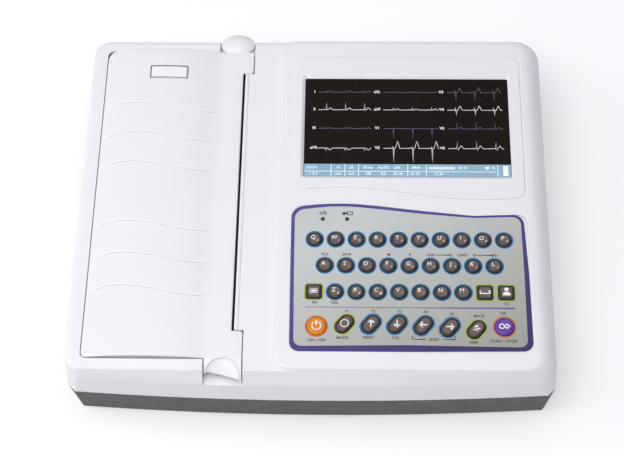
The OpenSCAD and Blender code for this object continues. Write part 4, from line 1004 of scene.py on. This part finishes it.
def filleted(corners, n=8):
    """A closed outline whose corners (x, y, radius) are rounded."""
    line = []
    for i, (x, y, r) in enumerate(corners):
        if not r:
            line.append((x, y))
            continue
        here = Vector((x, y))
        u = (Vector(corners[i - 1][:2]) - here).normalized()
        v = (Vector(corners[(i + 1) % len(corners)][:2]) - here).normalized()
        half = u.angle(v) / 2
        a, b = here + u * r / math.tan(half), here + v * r / math.tan(half)
        middle = here + (u + v).normalized() * r / math.sin(half)
        for k in range(n + 1):
            spoke = a.lerp(b, k / n) - middle
            line.append(tuple(middle + spoke.normalized() * r))
    return line


def waved(wave, corners):
    """A wave through its points, then the rounded corners, turned anticlockwise."""
    flat = [(x, y, 0) for x, y in flowing(wave, closed=False)]
    return filleted(flat + corners)[::-1]


def facing_points(outer, inner, centre):
    """The inner outline resampled so that its points face those of the outer one."""
    faced = []
    for x, y in outer:
        dx, dy = x - centre[0], y - centre[1]
        best = None
        for (ax, ay), (bx, by) in zip(inner, inner[1:] + inner[:1]):
            ex, ey = bx - ax, by - ay
            cross = dx * ey - dy * ex
            if abs(cross) < 1e-9:
                continue
            t = ((ax - centre[0]) * ey - (ay - centre[1]) * ex) / cross
            s = ((ax - centre[0]) * dy - (ay - centre[1]) * dx) / cross
            if t > 0 and -1e-6 <= s <= 1 + 1e-6:
                best = (centre[0] + t * dx, centre[1] + t * dy)
        faced.append(best)
    return faced


MIDDLE = (70, -66)
outer_line = dense(waved(OUTER_WAVE, OUTER_CORNERS), 3)
inner_line = facing_points(outer_line, waved(INNER_WAVE, INNER_CORNERS), MIDDLE)
border = band("border", outer_line, inner_line, FILM_Z, INK_Z)
piece("overlay_border", border, violet_ink, "chassis")
low, high = (tuple(c / MM for c in corner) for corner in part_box("keypad_overlay"))
film_edge = waved([(20.0, high[1]), (42, high[1] - 1.2), (71, -9.2), (100, -13.4), (123, -14.2)],
                  [(high[0], -13.6, 7), (high[0], low[1], 7), (low[0], low[1], 7), (low[0], -6.8, 7)])
film_line = [(x + math.copysign(0.3, x - MIDDLE[0]), y + math.copysign(0.3, y - MIDDLE[1]))
             for x, y in facing_points(outer_line, film_edge, MIDDLE)]
# Painted highlight: white shell plastic covers the film from its edge to the violet border, a bright line
# along the border
highlight_band = band("highlight_band", film_line, outer_line, FILM_Z - 0.3, FILM_Z + 0.04)
piece("overlay_painted_highlight", highlight_band, white_abs, "chassis")
print("border points:", len(outer_line))

# %%
# Key positions and outlines
LETTERS = "qwertyuiopasdfghjklzxcvbnm"


def key_centre(name):
    low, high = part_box("key_" + name)
    return ((low[0] + high[0]) / 2 / MM, (low[1] + high[1]) / 2 / MM)


def key_outline(name, grow):
    x, y = key_centre(name)
    if len(name) == 1:
        return circle(x, y, 5.6 + grow)
    if name in ("fn", "space", "patient"):
        return rounded(x, y, 11.2 + 2 * grow, 11.2 + 2 * grow, max(1.6 + grow, 0.3), 11)
    if name in ("power", "ok"):
        return circle(x, y, 6.9 + grow, 56)
    return capsule(x, y, 10.4 + 2 * grow, 5.1, 50)


RING_INKS = {
    "blue": ("f2", "f3", "f4", "f5"), "lime": ("fn", "space", "patient", "f1", "back"),
    "orange": ("power", "ok")}
INKS = {"blue": blue_ink, "lime": lime_ink, "orange": orange_ink}
for tone, names in RING_INKS.items():
    bands = [band("ring", key_outline(n, 1.3), key_outline(n, 0.4), FILM_Z, INK_Z) for n in names]
    piece("key_rings_" + tone, joined("rings", bands), INKS[tone], "chassis")
centres = [key_centre(letter) + (FILM_Z + 0.03,) for letter in LETTERS]
values = {"Ring radius": 6.3 * MM, "Ink width": 0.95 * MM, "Ink height": 0.06 * MM, "Skin": blue_ink}
rings = grown("letter_rings", RINGS, centres, [], values)
piece("letter_rings", rings, blue_ink, "chassis")
print("keys:", len(centres), "letters and", sum(map(len, RING_INKS.values())), "others")

# %%
# Labels, divider and symbols on the film
labels = []


def printed(points, width, closed=False):
    labels.append(stroke("label", points, width, FILM_Z, INK_Z, closed))


for text, x, y in (
        ("FILE", 9.2, -46), ("SAVE", 24.9, -46), ("M", 55.4, -46), ("F", 70.5, -46), ("LEAD", 108.3, -46),
        ("FN", 2.5, -84.6), ("DEL", 16.6, -84.6), ("ID", 138.6, -84.6), ("F1", 25.6, -91.2),
        ("F2", 44.3, -91.0), ("F3", 62.8, -91.0), ("F4", 81.1, -91.4), ("F5", 99.9, -92.9),
        ("BACK", 118.9, -94.2), ("OK", 135.8, -91.9), ("ON / OFF", 4.6, -113.7), ("MODE", 22.5, -111.7),
        ("RESET", 40.9, -111.3), ("CAL", 59.8, -111.3), ("LEAD", 86.5, -112.4), ("FEED", 114.6, -114.6),
        ("START / STOP", 135.5, -113.4)):
    labels.append(lettering("label", text, 3.0, x, y, FILM_Z, INK_Z, 0.045))
for x0, x1, y in ((86.4, 99.2, -46), (117.5, 130.4, -46), (71.5, 80.5, -112.4), (92.5, 101.5, -112.4)):
    printed([(x0, y), (x1, y)], 0.35)
for x, side in ((84.0, -1), (86.2, -1), (99.6, -1), (117.1, 1), (130.6, 1), (132.8, 1)):
    printed([(x + side * 1.2, -46), (x - side * 0.9, -44.9), (x - side * 0.9, -47.1)], 0.35, closed=True)
for x in (71.5, 101.5):
    printed([(x, -112.5), (x, -109.9)], 0.35)
# Mains and battery symbols over their lamps
for dy in (0, 1.5):
    printed([(7.2 + t * 0.5, -12.8 + dy + 0.45 * math.sin(t * 0.9)) for t in range(-5, 6)], 0.6)
printed(rounded(27.0, -12.2, 3.8, 2.4, 0.3, 2), 0.6, closed=True)
printed([(20.9, -12.2), (25.3, -12.2)], 0.6)
printed([(22.2, -11.1), (24.0, -12.2), (22.2, -13.3)], 0.6)
piece("overlay_labels", joined("labels", labels), label_ink, "chassis")
divider = stroke("divider", [(-4.0, -88), (70, -88.1), (144.4, -88)], 0.55, FILM_Z, INK_Z)
piece("overlay_divider", divider, divider_ink, "chassis")
print("labels:", len(labels))

# %% [markdown]
# ## Keys
#
# The keys are one silicone mat on the real machine. Each cap rises through its hole, has a rolled edge and
# a shallow dish, and carries a printed legend. Here every cap is a loft of its own outline, so the slanted,
# square and round ones share one section.

# %%
# Key caps
SKIRT = [(0.95, 72.3), (0.95, 73.2), (0, 73.2), (0, 76.3), (-0.15, 76.7), (-0.6, 77.15), (-1.2, 77.55),
         (-1.55, 77.66), (-1.75, 77.55), (-1.9, 77.3)]
FACE = [(-1.85, 77.2), (-1.85, 77.5), (-2.0, 77.6), (-2.3, 77.56), (-3.2, 77.5)]
DISH_Z = 77.5
CAP_SKINS = {
    "power": (orange_rubber, orange_rubber, "key_orange"), "ok": (violet_rubber, violet_rubber, "key_violet")}
# Grey caps carry painted shade: a darker copy of their silicone on the skirt and rolled edge
GREY_CAP = (cap_side_painted_shade, key_rubber, "key_grey")
KEYS = [n[4:] for n in NODES if n.startswith("key_") and n != "key_board"]
for name in KEYS:
    side, top, slot = CAP_SKINS.get(name, GREY_CAP)
    skirt = loft("cap", [at_height(key_outline(name, grow), z) for grow, z in SKIRT], 50)
    piece("cap_" + name, skirt, side, "key_" + name, ["key_" + name])
    face = loft("face", [at_height(key_outline(name, grow), z) for grow, z in FACE], 50)
    piece("cap_face_" + name, face, top, "key_" + name)
print("caps made")

# %%
# Legends
SMALL = dict(zip(LETTERS, "0123456789./-+%=*()&#@!?;,"))
LEGEND_Z = DISH_Z + 0.09


def drawn(points, width, closed=False):
    return stroke("i", points, width, DISH_Z, LEGEND_Z, closed)


def icon(name, x, y):
    """The symbol on a key that is not a letter key, as a list of meshes."""
    if name == "power":
        return [drawn(arc(x, y - 0.2, 3.1, 128, 412, 28), 0.7), drawn([(x, y + 0.4), (x, y + 3.5)], 0.7)]
    if name == "f1":
        return [drawn(circle(x, y, 2.8, 36), 0.6, closed=True)]
    if name in ("f2", "f3", "f4", "f5"):
        quarter = {"f2": 1, "f3": 3, "f4": 2, "f5": 0}[name]
        return [drawn([(x + (a, -b, -a, b)[quarter], y + (b, a, -b, -a)[quarter]) for a, b in path], 0.55)
                for path in ([(-2.9, 0), (2.8, 0)], [(0.6, 2.2), (2.9, 0), (0.6, -2.2)])]
    if name == "back":
        return [drawn([(x - 2.6, y - 0.7), (x - 0.7, y - 0.7), (x - 0.2, y + 1.2), (x + 0.4, y - 1.7),
                       (x + 1.0, y + 0.2), (x + 2.6, y + 0.2)], 0.6),
                drawn([(x - 1.6, y + 1.4), (x + 1.2, y + 2.4)], 0.6)]
    if name == "ok":
        diamond = [(x + 3.4, y), (x + 1.7, y + 1.7), (x, y), (x + 1.7, y - 1.7)]
        return [drawn(circle(x - 1.9, y, 1.7, 28), 0.75, closed=True), drawn(diamond, 0.75, closed=True)]
    if name == "fn":
        return [drawn(rounded(x, y, 5.2, 3.0, 0.4, 3), 0.35, closed=True),
                prism("i", rounded(x, y, 3.4, 1.5, 0.2, 2), DISH_Z, LEGEND_Z)]
    if name == "space":
        return [drawn([(x - 3.4, y + 1.2), (x - 3.4, y - 1.2), (x + 3.4, y - 1.2), (x + 3.4, y + 1.2)], 0.8)]
    bust = [(a, min(b, y + 0.4)) for a, b in arc(x, y - 2.6, 2.9, 0, 180, 20)]
    return [prism("i", outline, DISH_Z, LEGEND_Z) for outline in (bust, circle(x, y + 2.2, 1.5, 28))]


for name in KEYS:
    x, y = key_centre(name)
    if len(name) == 1:
        parts = [lettering("l", name.upper(), 4.4, x - 1.0, y + 0.9, DISH_Z, LEGEND_Z, 0.03),
                 lettering("l", SMALL[name], 2.3, x + 2.2, y - 1.6, DISH_Z, LEGEND_Z, 0.02)]
    else:
        parts = icon(name, x, y)
    slot = CAP_SKINS.get(name, GREY_CAP)[2]
    piece("legend_" + name, joined("legend", parts), white_ink, "key_" + name)
print("legends made")
